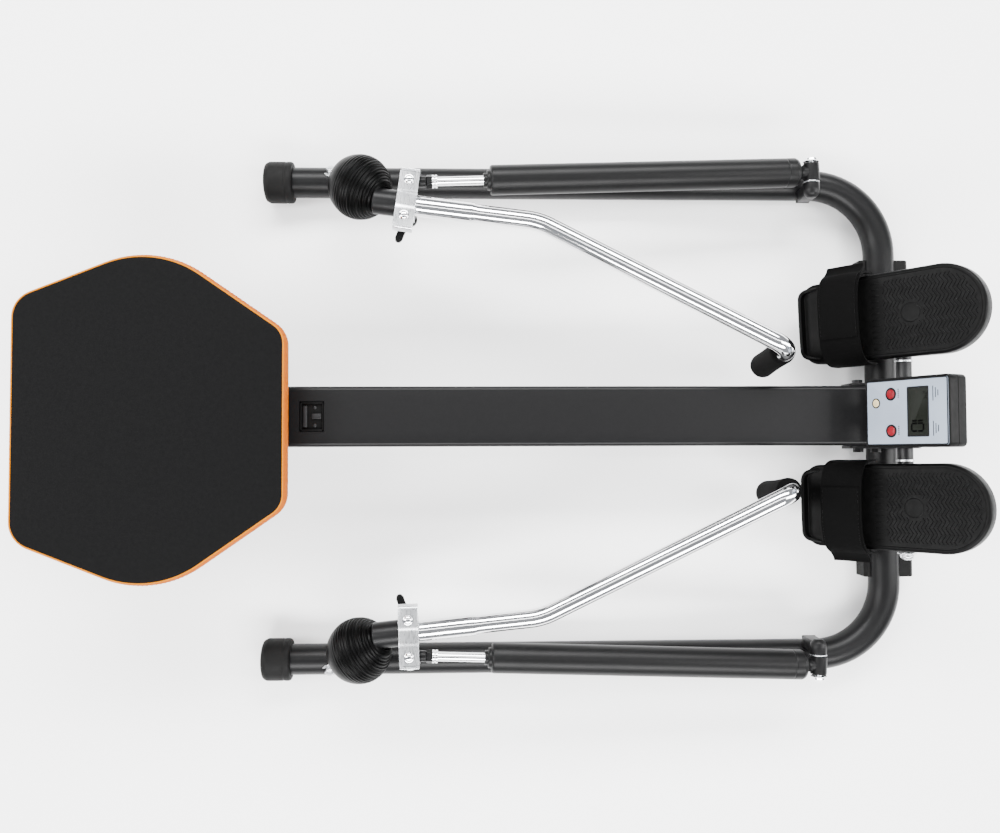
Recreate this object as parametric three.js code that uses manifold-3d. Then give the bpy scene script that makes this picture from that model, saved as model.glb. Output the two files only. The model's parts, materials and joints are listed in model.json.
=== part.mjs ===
// Two-arm hydraulic rowing machine with a sliding seat, full-motion handle arms, swivelling
// pedals and a stroke counter. Millimetres, +Z up, +X towards the pedals, +Y to the rower's left.
// The origin is on the floor, under the centre of the machine's bounding box.
import * as THREE from "three";
import { mergeVertices } from "three/addons/utils/BufferGeometryUtils.js";
import Module from "manifold-3d";

const wasm = await Module();
wasm.setup();

// ---------------------------------------------------------------- driving dimensions
const GAP = 0.3; // between neighbouring solids that only touch

// Floor frame: one round tube bent to a U, its legs pointing to the rear.
const TUBE_R = 21.2;
const TUBE_WALL = 2;
const TUBE_Z = 29;
const LEG_Y = 334;
const CROSS_X = 541;
const LEG_END_X = -332;
const BEND_R = 100;

// Rail that the seat rolls on.
const RAIL_W = 80;
const RAIL_H = 45;
const RAIL_TOP = 118;
const RAIL_REAR_X = -585;
const RAIL_FRONT_X = 518;
const RAIL_WALL = 2;
const SENSOR_X = -255;
const SENSOR_L = 32;
const SENSOR_W = 40;

// Rear support under the seat.
const REAR_FOOT_X = -540;
const REAR_FOOT_HALF = 175;

// Seat: a hexagon with rounded corners, given by its virtual corners.
const SEAT_X = -446;
const SEAT_OUTLINE = [
  { x: -163, y: 150, r: 36 },
  { x: 10, y: 221, r: 125 },
  { x: 171, y: 105, r: 30 },
];
const PAD_BOTTOM = 161.5;
const PAD_TOP = 205;
const ROLLER_R = 15;
const ROLLER_SPACING = 130;
const LOWER_ROLLER_R = 9;
const LOWER_ROLLER_X = -376;
const SEAT_TRAVEL = 500;

// Arm pivot (centre of the universal joint) and the arm, in the joint's own frame:
// x forward, "inboard" towards the rail, z up.
const JOINT = { x: -194, y: 309, z: 102 };
const BOOT_R = 44;
// At rest the arms lean a little to the right, the right one more than the left.
const ARM_YAW = { left: THREE.MathUtils.degToRad(-0.35), right: THREE.MathUtils.degToRad(-1.2) };
const CLAMP = { x: 68, inboard: 29.5, z: 23 };
const EYE = { x: 68, inboard: -2.5, z: 18 };
const TUBE_SLOPE_IN = 0.14;
const TUBE_SLOPE_UP = 0.1;
const SLEEVE_R = 16;
const THICK_TUBE_R = 12.5;
const ARM_TUBE_R = 11;
const STEP_X = 158; // end of the thick stretch of the arm tube
const BEND_X = 238;
const HANDLE = { x: 557, inboard: 222, z: 78 }; // where the tube turns down into the grip
const HANDLE_BEND_R = 20;
const GRIP_R = 17;
const GRIP_LENGTH = 94;

// Hydraulic cylinder between the front post and the clamp on the arm.
const FRONT_PIN = { x: 426, y: 338, z: 84 };
const POST_Y = 313;
const BARREL_R = 20;
const BARREL_START = 20; // measured from the front pin towards the arm
const BARREL_END = 440;
const ROD_R = 6;
const EYE_R = 12;
const EYE_HALF = 6;
const EYE_PIN_HALF = 8;
const CHEEK = 12.5; // clear half width of the clamp's fork

// Pedals on their axle.
const AXLE = { x: 535, z: 120, r: 7, half: 200 };
const PEDAL_Y = 128;
const PEDAL_TILT = THREE.MathUtils.degToRad(46.4);
const PEDAL = { heel: -131, toe: 117.8, half: 59, top: 30, thick: 20 };
const CUP_RISE = 14;
const STRAP = { x: -60, half: 28, rise: 36, thick: 3 };

// Counter with its display.
const CONSOLE = { x: 460.5, z: 172, length: 126, width: 87, depth: 30 };
const CONSOLE_TILT = THREE.MathUtils.degToRad(63.8);

// ---------------------------------------------------------------- materials
const paint = (name, color, roughness, metalness) =>
  new THREE.MeshStandardMaterial({ name, color, roughness, metalness });
const blackPaint = paint("black_paint", 0x1c1c1d, 0.38, 0.1);
const barrelPaint = paint("barrel_paint", 0x202021, 0.45, 0.1);
const chrome = paint("chrome", 0xd8dadc, 0.08, 1);
const zinc = paint("zinc", 0xc9ccce, 0.3, 1);
const rubber = paint("rubber", 0x141414, 0.8, 0);
const foam = paint("foam", 0x1a1a1a, 0.95, 0);
const plastic = paint("black_plastic", 0x161718, 0.5, 0);
const nylon = paint("nylon", 0x2a2a2c, 0.4, 0);
const vinyl = paint("seat_vinyl", 0x2f2f2f, 0.7, 0);
const webbing = paint("webbing", 0x151516, 0.9, 0);
const silverFace = paint("silver_face", 0xb9c3cc, 0.4, 0.1);
const display = paint("display", 0x6d7466, 0.15, 0);
const redButton = paint("red_button", 0xd8324e, 0.35, 0);

// ---------------------------------------------------------------- solid helpers
const vec = (x, y, z) => new THREE.Vector3(x, y, z);

function toSolid(geometry) {
  const bare = geometry.index ? geometry.toNonIndexed() : geometry.clone();
  for (const name of Object.keys(bare.attributes)) {
    if (name !== "position") bare.deleteAttribute(name);
  }
  const merged = mergeVertices(bare, 1e-3);
  const mesh = new wasm.Mesh({
    numProp: 3,
    vertProperties: new Float32Array(merged.attributes.position.array),
    triVerts: new Uint32Array(merged.index.array),
  });
  return new wasm.Manifold(mesh);
}

function toGeometry(solid) {
  const mesh = solid.getMesh();
  const points = new Float32Array(mesh.numVert * 3);
  for (let i = 0; i < mesh.numVert; i++) {
    const start = i * mesh.numProp;
    points.set(mesh.vertProperties.subarray(start, start + 3), i * 3);
  }
  const geometry = new THREE.BufferGeometry();
  geometry.setAttribute("position", new THREE.BufferAttribute(points, 3));
  geometry.setIndex(new THREE.BufferAttribute(mesh.triVerts, 1));
  return geometry;
}

const join = (...geometries) =>
  toGeometry(geometries.map(toSolid).reduce((all, next) => all.add(next)));

const cut = (geometry, ...tools) =>
  toGeometry(tools.map(toSolid).reduce((left, tool) => left.subtract(tool), toSolid(geometry)));

/** A box between two opposite corners. */
function box([x0, y0, z0], [x1, y1, z1]) {
  const size = [x1 - x0, y1 - y0, z1 - z0].map(Math.abs);
  return new THREE.BoxGeometry(...size).translate((x0 + x1) / 2, (y0 + y1) / 2, (z0 + z1) / 2);
}

/** Turns a geometry made along +Y so that it starts at one point and runs towards another. */
function lay(geometry, from, towards) {
  const direction = towards.clone().sub(from).normalize();
  const turn = new THREE.Quaternion().setFromUnitVectors(vec(0, 1, 0), direction);
  return geometry.applyQuaternion(turn).translate(from.x, from.y, from.z);
}

/** A round bar between two points. */
function bar(from, to, radius, segments = 20, endRadius = radius) {
  const length = from.distanceTo(to);
  const shape = new THREE.CylinderGeometry(endRadius, radius, length, segments);
  return lay(shape.translate(0, length / 2, 0), from, to);
}

/** A turned piece: [radius, distance] pairs, spun about the line that leaves `from`. */
function turned(profile, from, towards, segments = 24) {
  const points = profile.map(([radius, along]) => new THREE.Vector2(radius, along));
  return lay(new THREE.LatheGeometry(points, segments), from, towards);
}

function circleShape(radius, segments) {
  const points = [];
  for (let i = 0; i < segments; i++) {
    const angle = (i / segments) * 2 * Math.PI;
    points.push(new THREE.Vector2(radius * Math.cos(angle), radius * Math.sin(angle)));
  }
  return points;
}

/** A straight line, round bends and straight line again, through the given corners. */
function bentPath(corners, radii) {
  const path = new THREE.CurvePath();
  let start = corners[0];
  for (let i = 1; i < corners.length - 1; i++) {
    const before = corners[i - 1].clone().sub(corners[i]).normalize();
    const after = corners[i + 1].clone().sub(corners[i]).normalize();
    const half = before.angleTo(after) / 2;
    const reach = radii[i - 1] / Math.tan(half);
    const enter = corners[i].clone().addScaledVector(before, reach);
    const leave = corners[i].clone().addScaledVector(after, reach);
    const middle = before.clone().add(after).normalize();
    const centre = corners[i].clone().addScaledVector(middle, radii[i - 1] / Math.sin(half));
    path.add(new THREE.LineCurve3(start, enter));
    path.add(new ArcCurve(centre, enter, leave));
    start = leave;
  }
  path.add(new THREE.LineCurve3(start, corners[corners.length - 1]));
  return path;
}

/** The short arc about a centre between two points. */
class ArcCurve extends THREE.Curve {
  constructor(centre, from, to) {
    super();
    this.centre = centre;
    this.from = from.clone().sub(centre);
    this.angle = this.from.angleTo(to.clone().sub(centre));
    this.axis = this.from.clone().cross(to.clone().sub(centre)).normalize();
  }
  getPoint(t, target = vec(0, 0, 0)) {
    return target.copy(this.from).applyAxisAngle(this.axis, this.angle * t).add(this.centre);
  }
}

/** Samples a path with points only where it bends, so that straight runs stay two rings long. */
class SparsePath extends THREE.Curve {
  constructor(path, arcSteps) {
    super();
    this.points = [];
    path.curves.forEach((curve, i) => {
      const steps = curve instanceof ArcCurve ? arcSteps : 1;
      for (let k = i ? 1 : 0; k <= steps; k++) this.points.push(curve.getPoint(k / steps));
    });
  }
  get rings() {
    return this.points.length - 1;
  }
  getPoint(t, target = vec(0, 0, 0)) {
    const at = Math.min(t, 1) * this.rings;
    const i = Math.min(Math.floor(at + 1e-9), this.rings - 1);
    return target.copy(this.points[i]).lerp(this.points[i + 1], Math.max(0, at - i));
  }
  getPointAt(t, target) {
    return this.getPoint(t, target);
  }
  getTangent(t, target = vec(0, 0, 0)) {
    const i = Math.round(t * this.rings);
    const before = this.points[Math.max(i - 1, 0)];
    const here = this.points[i];
    const after = this.points[Math.min(i + 1, this.rings)];
    const arriving = here.clone().sub(before);
    const leaving = after.clone().sub(here);
    return target.copy(arriving.normalize()).add(leaving.normalize()).normalize();
  }
  getTangentAt(t, target) {
    return this.getTangent(t, target);
  }
}

/** A tube along a path, hollow where an inner radius is given. */
function tubeAlong(path, outer, inner, arcSteps, segments = 20) {
  const shape = new THREE.Shape(circleShape(outer, segments));
  if (inner) shape.holes.push(new THREE.Path(circleShape(inner, segments / 2)));
  const extrudePath = new SparsePath(path, arcSteps);
  return new THREE.ExtrudeGeometry(shape, { steps: extrudePath.rings, extrudePath });
}

/** An outline with rounded corners: each corner has x, y and r. */
function roundedShape(corners) {
  const shape = new THREE.Shape();
  corners.forEach((corner, i) => {
    const before = corners[(i + corners.length - 1) % corners.length];
    const after = corners[(i + 1) % corners.length];
    const at = new THREE.Vector2(corner.x, corner.y);
    const back = new THREE.Vector2(before.x, before.y).sub(at).normalize();
    const on = new THREE.Vector2(after.x, after.y).sub(at).normalize();
    const half = Math.acos(THREE.MathUtils.clamp(back.dot(on), -1, 1)) / 2;
    const reach = corner.r / Math.tan(half);
    const enter = at.clone().addScaledVector(back, reach);
    const leave = at.clone().addScaledVector(on, reach);
    const centre = at.clone().addScaledVector(back.add(on).normalize(), corner.r / Math.sin(half));
    const from = Math.atan2(enter.y - centre.y, enter.x - centre.x);
    const to = Math.atan2(leave.y - centre.y, leave.x - centre.x);
    const turn = Math.atan2(Math.sin(to - from), Math.cos(to - from));
    if (i) shape.lineTo(enter.x, enter.y);
    else shape.moveTo(enter.x, enter.y);
    shape.absarc(centre.x, centre.y, corner.r, from, to, turn < 0);
  });
  shape.closePath();
  return shape;
}

const slab = (shape, z0, z1, curveSegments = 6) =>
  new THREE.ExtrudeGeometry(shape, { depth: z1 - z0, bevelEnabled: false, curveSegments })
    .translate(0, 0, z0);

/** A shape drawn in the XZ plane and given a thickness along Y. */
const sidePlate = (shape, y0, y1, curveSegments = 8) =>
  slab(shape, 0, Math.abs(y1 - y0), curveSegments)
    .rotateX(Math.PI / 2)
    .translate(0, Math.max(y0, y1), 0);

const root = new THREE.Group();

function add(group, name, geometry, material) {
  const mesh = new THREE.Mesh(geometry, material);
  mesh.name = name;
  group.add(mesh);
}

// ---------------------------------------------------------------- floor frame
function makeFloorFrame() {
  const corners = [
    vec(LEG_END_X, LEG_Y, TUBE_Z),
    vec(CROSS_X, LEG_Y, TUBE_Z),
    vec(CROSS_X, -LEG_Y, TUBE_Z),
    vec(LEG_END_X, -LEG_Y, TUBE_Z),
  ];
  const path = bentPath(corners, [BEND_R, BEND_R]);
  const tube = tubeAlong(path, TUBE_R, TUBE_R - TUBE_WALL, 9);
  add(root, "frame_tube", tube, blackPaint);
}

/** A rubber cap pushed over a tube's end; `outward` is +1 or -1 along the given axis. */
function endCap(end, outward, radius, length) {
  const wall = 3;
  const inner = TUBE_R + GAP;
  const profile = [
    [0, GAP],
    [inner, GAP],
    [inner, wall - length],
    [radius, wall - length],
    [radius, wall - 3],
    [radius - 4, wall],
    [0, wall],
  ];
  return turned(profile, end, end.clone().add(outward), 28);
}

function makeFeet(side, name) {
  const legEnd = vec(LEG_END_X, side * LEG_Y, TUBE_Z);
  add(root, `end_cap_${name}`, endCap(legEnd, vec(-1, 0, 0), TUBE_Z, 41), rubber);

  // Saddle foot under the cross tube.
  const outline = roundedShape([
    { x: CROSS_X - 29, y: 0, r: 4 },
    { x: CROSS_X + 41, y: 0, r: 4 },
    { x: CROSS_X + 41, y: 34, r: 5 },
    { x: CROSS_X - 29, y: 34, r: 5 },
  ]);
  const block = sidePlate(outline, side * 183, side * 216, 3);
  const seatHole = bar(
    vec(CROSS_X, side * 170, TUBE_Z),
    vec(CROSS_X, side * 230, TUBE_Z),
    TUBE_R + GAP,
  );
  add(root, `front_foot_${name}`, cut(block, seatHole), rubber);

  const rearEnd = vec(REAR_FOOT_X, side * REAR_FOOT_HALF, TUBE_Z);
  add(root, `rear_cap_${name}`, endCap(rearEnd, vec(0, side, 0), TUBE_Z, 32), rubber);
}

function makeRearLeg() {
  const along = vec(REAR_FOOT_X, REAR_FOOT_HALF, TUBE_Z);
  const back = vec(REAR_FOOT_X, -REAR_FOOT_HALF, TUBE_Z);
  const foot = bar(back, along, TUBE_R, 24);
  const bore = bar(
    back.clone().add(vec(0, -1, 0)),
    along.clone().add(vec(0, 1, 0)),
    TUBE_R - TUBE_WALL,
    12,
  );
  const railBottom = RAIL_TOP - RAIL_H;
  const tray = box([REAR_FOOT_X - 45, -38, railBottom - 5], [REAR_FOOT_X + 45, 38, railBottom - GAP]);
  const webs = [-30, 26].map((y) =>
    box([REAR_FOOT_X - 16, y, TUBE_Z + 15], [REAR_FOOT_X + 16, y + 4, railBottom - 4]),
  );
  add(root, "rear_leg", cut(join(foot, tray, ...webs), bore), blackPaint);
}

// ---------------------------------------------------------------- rail
function makeRail() {
  const half = RAIL_W / 2;
  const bottom = RAIL_TOP - RAIL_H;
  const section = (inset) =>
    roundedShape([
      { x: -half + inset, y: bottom + inset, r: 5 - inset / 2 },
      { x: half - inset, y: bottom + inset, r: 5 - inset / 2 },
      { x: half - inset, y: RAIL_TOP - inset, r: 5 - inset / 2 },
      { x: -half + inset, y: RAIL_TOP - inset, r: 5 - inset / 2 },
    ]);
  const shape = section(0);
  shape.holes.push(new THREE.Path(section(RAIL_WALL).getPoints(3)));
  const length = RAIL_FRONT_X - RAIL_REAR_X;
  const rail = slab(shape, 0, length, 3)
    .rotateX(Math.PI / 2)
    .rotateZ(Math.PI / 2)
    .translate(RAIL_REAR_X, 0, 0);
  const window = box(
    [SENSOR_X - SENSOR_L / 2, -SENSOR_W / 2, RAIL_TOP - 10],
    [SENSOR_X + SENSOR_L / 2, SENSOR_W / 2, RAIL_TOP + 5],
  );
  add(root, "rail", cut(rail, window), blackPaint);

  const plugSkirt = box(
    [RAIL_REAR_X + 0.5, -half + RAIL_WALL + 2, bottom + RAIL_WALL + 2],
    [RAIL_REAR_X + 14, half - RAIL_WALL - 2, RAIL_TOP - RAIL_WALL - 2],
  );
  const plugFace = box(
    [RAIL_REAR_X - 4, -half, bottom],
    [RAIL_REAR_X - GAP, half, RAIL_TOP],
  );
  const neck = box(
    [RAIL_REAR_X - 1, -half + 6, bottom + 6],
    [RAIL_REAR_X + 1, half - 6, RAIL_TOP - 6],
  );
  add(root, "rail_rear_cap", join(plugFace, neck, plugSkirt), plastic);

  // Stroke sensor, dropped into the window in the rail's top.
  const inset = 0.6;
  const body = box(
    [SENSOR_X - SENSOR_L / 2 + inset, -SENSOR_W / 2 + inset, RAIL_TOP - 22],
    [SENSOR_X + SENSOR_L / 2 - inset, SENSOR_W / 2 - inset, RAIL_TOP - 4],
  );
  const nose = box([SENSOR_X - 14, -15, RAIL_TOP - 5], [SENSOR_X + 6, 15, RAIL_TOP - 1]);
  const clip = box([SENSOR_X + 5, -2, RAIL_TOP - 5], [SENSOR_X + 14, 4, RAIL_TOP - 1.5]);
  add(root, "stroke_sensor", join(body, nose, clip), plastic);

  // Rubber stops under the rail, one at each end of the lower roller's travel.
  const stop = (x0, x1) => box([x0, -12, bottom - 13], [x1, 12, bottom - GAP]);
  const rear = LOWER_ROLLER_X - LOWER_ROLLER_R - 0.8;
  const front = LOWER_ROLLER_X + SEAT_TRAVEL + LOWER_ROLLER_R + 0.8;
  add(root, "rear_stop", stop(rear - 20, rear), rubber);
  add(root, "front_stop", stop(front, front + 20), rubber);
}

function makeFrontBracket() {
  const half = RAIL_W / 2 + GAP;
  const thick = 4;
  const railBottom = RAIL_TOP - RAIL_H;
  const outline = roundedShape([
    { x: 468, y: railBottom - 6, r: 5 },
    { x: CROSS_X + 20, y: 44, r: 5 },
    { x: CROSS_X + 20, y: 112, r: 14 },
    { x: AXLE.x + 12, y: 136, r: 8 },
    { x: AXLE.x - 20, y: 136, r: 8 },
    { x: 500, y: 112, r: 20 },
    { x: 468, y: 104, r: 8 },
  ]);
  const cheeks = [half, -half - thick].map((y) => sidePlate(outline, y, y + thick, 3));
  const floor = box([470, -half - 1, railBottom - 5], [CROSS_X + 18, half + 1, railBottom - GAP]);
  const crossHole = bar(
    vec(CROSS_X, -80, TUBE_Z),
    vec(CROSS_X, 80, TUBE_Z),
    TUBE_R + GAP,
    24,
  );
  const axleHole = bar(vec(AXLE.x, -80, AXLE.z), vec(AXLE.x, 80, AXLE.z), AXLE.r + GAP, 20);
  const saddle = [
    box([CROSS_X - 24, -36, 42], [CROSS_X + 19, -30, railBottom - 4]),
    box([CROSS_X - 24, 30, 42], [CROSS_X + 19, 36, railBottom - 4]),
  ];
  const bolts = [1, -1].flatMap((side) =>
    [482, 506].map((x) =>
      bar(vec(x, side * (half + 3), 93), vec(x, side * (half + thick + 5), 93), 7, 6),
    ),
  );
  const whole = join(...cheeks, floor, ...saddle, ...bolts);
  add(root, "front_bracket", cut(whole, crossHole, axleHole), blackPaint);
}

// ---------------------------------------------------------------- seat
function seatShape(shrink) {
  const rear = SEAT_OUTLINE.map(({ x, y, r }) => ({
    x: x * shrink,
    y: y * shrink,
    r: r * shrink,
  }));
  const mirrored = rear.map(({ x, y, r }) => ({ x, y: -y, r })).reverse();
  return roundedShape([...rear, ...mirrored].reverse());
}

function makeSeat() {
  const group = new THREE.Group();
  group.position.set(SEAT_X, 0, 0);
  root.add(group);

  // Cushion: full outline in the middle of its height, drawn in at the top edge.
  const edge = 8;
  const pad = join(
    slab(seatShape(1), PAD_BOTTOM + 4, PAD_TOP - edge, 6),
    slab(seatShape(0.965), PAD_BOTTOM, PAD_TOP, 6),
  );
  add(group, "seat_cushion", pad, vinyl);
  add(group, "seat_board", slab(seatShape(0.9), PAD_BOTTOM - 8.3, PAD_BOTTOM - GAP, 5), plastic);

  const inner = 45;
  const outer = 49;
  const top = PAD_BOTTOM - 8.6;
  const bottom = 54;
  const outline = roundedShape([
    { x: -100, y: 92, r: 8 },
    { x: -70, y: bottom + 26, r: 14 },
    { x: 42, y: bottom, r: 10 },
    { x: 90, y: bottom, r: 10 },
    { x: 100, y: 92, r: 14 },
    { x: 100, y: top, r: 2 },
    { x: -100, y: top, r: 2 },
  ]);
  const cheeks = [inner, -outer].map((y) => sidePlate(outline, y, y + outer - inner, 3));
  const deck = box([-100, -inner - 1, top - 4], [100, inner + 1, top]);
  const wings = box([-70, -110, top - 4], [70, 110, top]);
  const lowerX = LOWER_ROLLER_X - SEAT_X;
  const lowerZ = RAIL_TOP - RAIL_H - LOWER_ROLLER_R - GAP;
  const holes = [
    [-ROLLER_SPACING / 2, RAIL_TOP + ROLLER_R],
    [ROLLER_SPACING / 2, RAIL_TOP + ROLLER_R],
    [lowerX, lowerZ],
  ].map(([x, z]) => bar(vec(x, -60, z), vec(x, 60, z), 5.5, 12));
  add(group, "seat_carriage", cut(join(...cheeks, deck, wings), ...holes), blackPaint);

  for (const [x, name] of [
    [-ROLLER_SPACING / 2, "rear"],
    [ROLLER_SPACING / 2, "front"],
  ]) {
    const z = RAIL_TOP + ROLLER_R + GAP;
    const axle = bar(vec(x, -47, z), vec(x, 47, z), 5, 12);
    const wheels = [-1, 1].map((side) =>
      bar(vec(x, side * 15, z), vec(x, side * 33, z), ROLLER_R, 24),
    );
    add(group, `${name}_roller`, join(axle, ...wheels), nylon);
  }
  const lower = join(
    bar(vec(lowerX, -47, lowerZ), vec(lowerX, 47, lowerZ), 5, 12),
    bar(vec(lowerX, -34, lowerZ), vec(lowerX, 34, lowerZ), LOWER_ROLLER_R, 24),
  );
  add(group, "lower_roller", lower, nylon);
}

// ---------------------------------------------------------------- arms
/** A point of an arm in its own group: forward, towards the rail, up. */
const armPoint = (side, { x, inboard = 0, z = 0 }) => vec(x, -side * inboard, z);

function tubeDirection(side) {
  return armPoint(side, { x: 1, inboard: TUBE_SLOPE_IN, z: TUBE_SLOPE_UP }).normalize();
}

function alongTube(side, x) {
  return armPoint(side, {
    x,
    inboard: CLAMP.inboard + TUBE_SLOPE_IN * (x - CLAMP.x),
    z: CLAMP.z + TUBE_SLOPE_UP * (x - CLAMP.x),
  });
}

/** The fixed fork of the universal joint, on a leaning post welded to the frame's leg. */
function makeJointStud(side, name) {
  const centre = vec(JOINT.x, side * JOINT.y, JOINT.z);
  const leg = vec(JOINT.x, side * LEG_Y, TUBE_Z);
  const up = centre.clone().sub(leg).normalize();
  const post = bar(
    leg.clone().addScaledVector(up, TUBE_R + GAP),
    centre.clone().addScaledVector(up, -19),
    10,
    20,
  );
  const flange = bar(
    leg.clone().addScaledVector(up, TUBE_R + GAP),
    leg.clone().addScaledVector(up, TUBE_R + 4.5),
    17,
    24,
    14,
  );
  const at = (x, y, z) => [centre.x + x, centre.y + y, centre.z + z];
  const ears = [10.5, -14.5].flatMap((y) => [
    box(at(-7, y, -24), at(7, y + 4, 0)),
    bar(vec(...at(0, y, 0)), vec(...at(0, y + 4, 0)), 9.5, 20),
  ]);
  const web = box(at(-9, -14.5, -26), at(9, 14.5, -18));
  const pinHole = bar(vec(...at(0, -20, 0)), vec(...at(0, 20, 0)), 4 + GAP, 16);
  add(root, `joint_stud_${name}`, cut(join(post, flange, web, ...ears), pinHole), blackPaint);
}

/** The cross of the universal joint: it lifts with the arm, and the arm swings on it. */
function makeKnuckle(side, name) {
  const centre = vec(JOINT.x, side * JOINT.y, JOINT.z);
  const at = (x, y, z) => [centre.x + x, centre.y + y, centre.z + z];
  const knuckle = join(
    box(at(-7, -9.5, -7), at(7, 9.5, 7)),
    bar(vec(...at(0, -14.5, 0)), vec(...at(0, 14.5, 0)), 4, 16),
    bar(vec(...at(0, 0, -12.5)), vec(...at(0, 0, 12.5)), 4, 16),
  );
  add(root, `knuckle_${name}`, knuckle, zinc);
}

function makeBoot(side, name, armGroupMatrix) {
  const centre = vec(JOINT.x, side * JOINT.y, JOINT.z);
  const leg = vec(JOINT.x, side * LEG_Y, TUBE_Z);
  const ball = (radius) =>
    new THREE.SphereGeometry(radius, 22, 13).translate(centre.x, centre.y, centre.z);
  const sleeveAxis = [alongTube(side, 10), alongTube(side, 90)].map((p) =>
    p.applyMatrix4(armGroupMatrix),
  );
  const shell = cut(
    ball(BOOT_R),
    ball(BOOT_R - 2.5),
    bar(leg, centre, 18, 16),
    bar(sleeveAxis[0], sleeveAxis[1], SLEEVE_R + 1, 16),
  );
  add(root, `boot_${name}`, shell, rubber);
}

function makeArm(side, name) {
  const group = new THREE.Group();
  group.position.set(JOINT.x, side * JOINT.y, JOINT.z);
  group.rotation.z = ARM_YAW[name];
  root.add(group);
  group.updateMatrix();

  const direction = tubeDirection(side);
  const clampAt = alongTube(side, CLAMP.x);
  const sleeveStart = alongTube(side, CLAMP.x - 34);
  const sleeveEnd = alongTube(side, CLAMP.x - 17);

  // Root of the arm: fork on the knuckle's upright pin, strut and socket for the tube.
  const ears = [9, -13].map((z) => box([-7, -6, z], [14, 6, z + 4]));
  const bridge = box([12, -7, -13], [18, 7, 13]);
  const strut = bar(armPoint(side, { x: 15, inboard: 5 }), alongTube(side, CLAMP.x - 28), 7, 16);
  const socket = bar(sleeveStart, sleeveEnd, SLEEVE_R, 28);
  const tubeBore = bar(
    alongTube(side, CLAMP.x - 28),
    alongTube(side, CLAMP.x + 40),
    THICK_TUBE_R + GAP,
    24,
  );
  const pinHole = bar(vec(0, 0, -20), vec(0, 0, 20), 4 + GAP, 16);
  const armRoot = cut(join(...ears, bridge, strut, socket), pinHole, tubeBore);
  add(group, `arm_root_${name}`, armRoot, blackPaint);

  // Clamp: plate over the tube and over the cylinder's eye, fork cheeks and lower jaw.
  const inward = (value) => -side * value;
  const x0 = CLAMP.x - 13;
  const x1 = CLAMP.x + 13;
  const plateZ = CLAMP.z + THICK_TUBE_R + 1;
  const plate = box([x0, inward(-CHEEK - 4), plateZ], [x1, inward(52), plateZ + 3.5]);
  const cheeks = [-CHEEK - 4, CHEEK].map((value) =>
    box([x0, inward(value), EYE.z - 13], [x1, inward(value + 4), plateZ + 1]),
  );
  const lip = box([x0, inward(48.5), plateZ - 14], [x1, inward(52), plateZ + 1]);
  const jaw = box([x0, inward(CHEEK + 1), CLAMP.z - 17], [x1, inward(51), plateZ - 7]);
  const jawTop = box([x0, inward(CHEEK + 1), CLAMP.z - 16], [x1, inward(50), plateZ + 1]);
  const heads = [
    vec(CLAMP.x, inward(0), plateZ + 3),
    vec(CLAMP.x, inward(46), plateZ + 3),
  ].map((p) => turned([[0, 0], [6.5, 0], [6, 2.2], [3.5, 3.6], [0, 4]], p, vec(p.x, p.y, 99), 20));
  const pinHeads = [
    bar(vec(CLAMP.x, inward(-CHEEK - 3), EYE.z), vec(CLAMP.x, inward(-CHEEK - 8), EYE.z), 7, 6),
  ];
  const clamp = cut(
    join(plate, ...cheeks, lip, jaw, jawTop, ...heads, ...pinHeads),
    bar(alongTube(side, CLAMP.x - 30), alongTube(side, CLAMP.x + 30), THICK_TUBE_R + GAP, 24),
  );
  add(group, `arm_clamp_${name}`, clamp, zinc);

  // Cam lever under the clamp, on its own upright pin.
  const leverAt = vec(CLAMP.x, inward(44), CLAMP.z - 17 - GAP);
  const hub = bar(leverAt, leverAt.clone().add(vec(0, 0, -9)), 9, 20);
  const bladeEnd = leverAt.clone().add(vec(-16, inward(27), -4));
  const blade = bar(leverAt.clone().add(vec(0, 0, -5)), bladeEnd, 4.5, 12, 3.5);
  add(group, `clamp_lever_${name}`, join(hub, blade), plastic);

  // Arm tube: thick stretch, step, bend towards the rail, and the turn down into the grip.
  const bend = alongTube(side, BEND_X);
  const turn = armPoint(side, HANDLE);
  const gripTop = turn.clone().add(vec(0, 0, -HANDLE_BEND_R - 8));
  const gripEnd = turn.clone().add(vec(0, 0, -HANDLE_BEND_R - 8 - GRIP_LENGTH));
  const path = bentPath([alongTube(side, STEP_X - 12), bend, turn, gripEnd], [90, HANDLE_BEND_R]);
  const thin = tubeAlong(path, ARM_TUBE_R, 0, 6, 20);
  const thickStart = alongTube(side, CLAMP.x - 26);
  const taperLength = 10;
  const thickLength = thickStart.distanceTo(alongTube(side, STEP_X));
  const thick = turned(
    [
      [0, 0],
      [THICK_TUBE_R, 0],
      [THICK_TUBE_R, thickLength - taperLength],
      [ARM_TUBE_R - 0.5, thickLength],
      [0, thickLength],
    ],
    thickStart,
    thickStart.clone().add(direction),
    24,
  );
  const borePath = bentPath(
    [alongTube(side, CLAMP.x - 30), bend, turn, gripEnd.clone().add(vec(0, 0, -5))],
    [90, HANDLE_BEND_R],
  );
  const bore = tubeAlong(borePath, ARM_TUBE_R - TUBE_WALL, 0, 4, 10);
  add(group, `arm_tube_${name}`, cut(join(thick, thin), bore), chrome);

  const grip = turned(
    [
      [ARM_TUBE_R + GAP, 0],
      [GRIP_R - 3, 0],
      [GRIP_R, 3],
      [GRIP_R, GRIP_LENGTH],
      [GRIP_R - 2, GRIP_LENGTH + 5],
      [GRIP_R - 7, GRIP_LENGTH + 7],
      [0, GRIP_LENGTH + 7],
      [0, GRIP_LENGTH + GAP],
      [ARM_TUBE_R + GAP, GRIP_LENGTH + GAP],
      [ARM_TUBE_R + GAP, 0],
    ],
    gripTop,
    gripEnd,
    28,
  );
  add(group, `grip_${name}`, grip, foam);
  return group;
}

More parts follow.
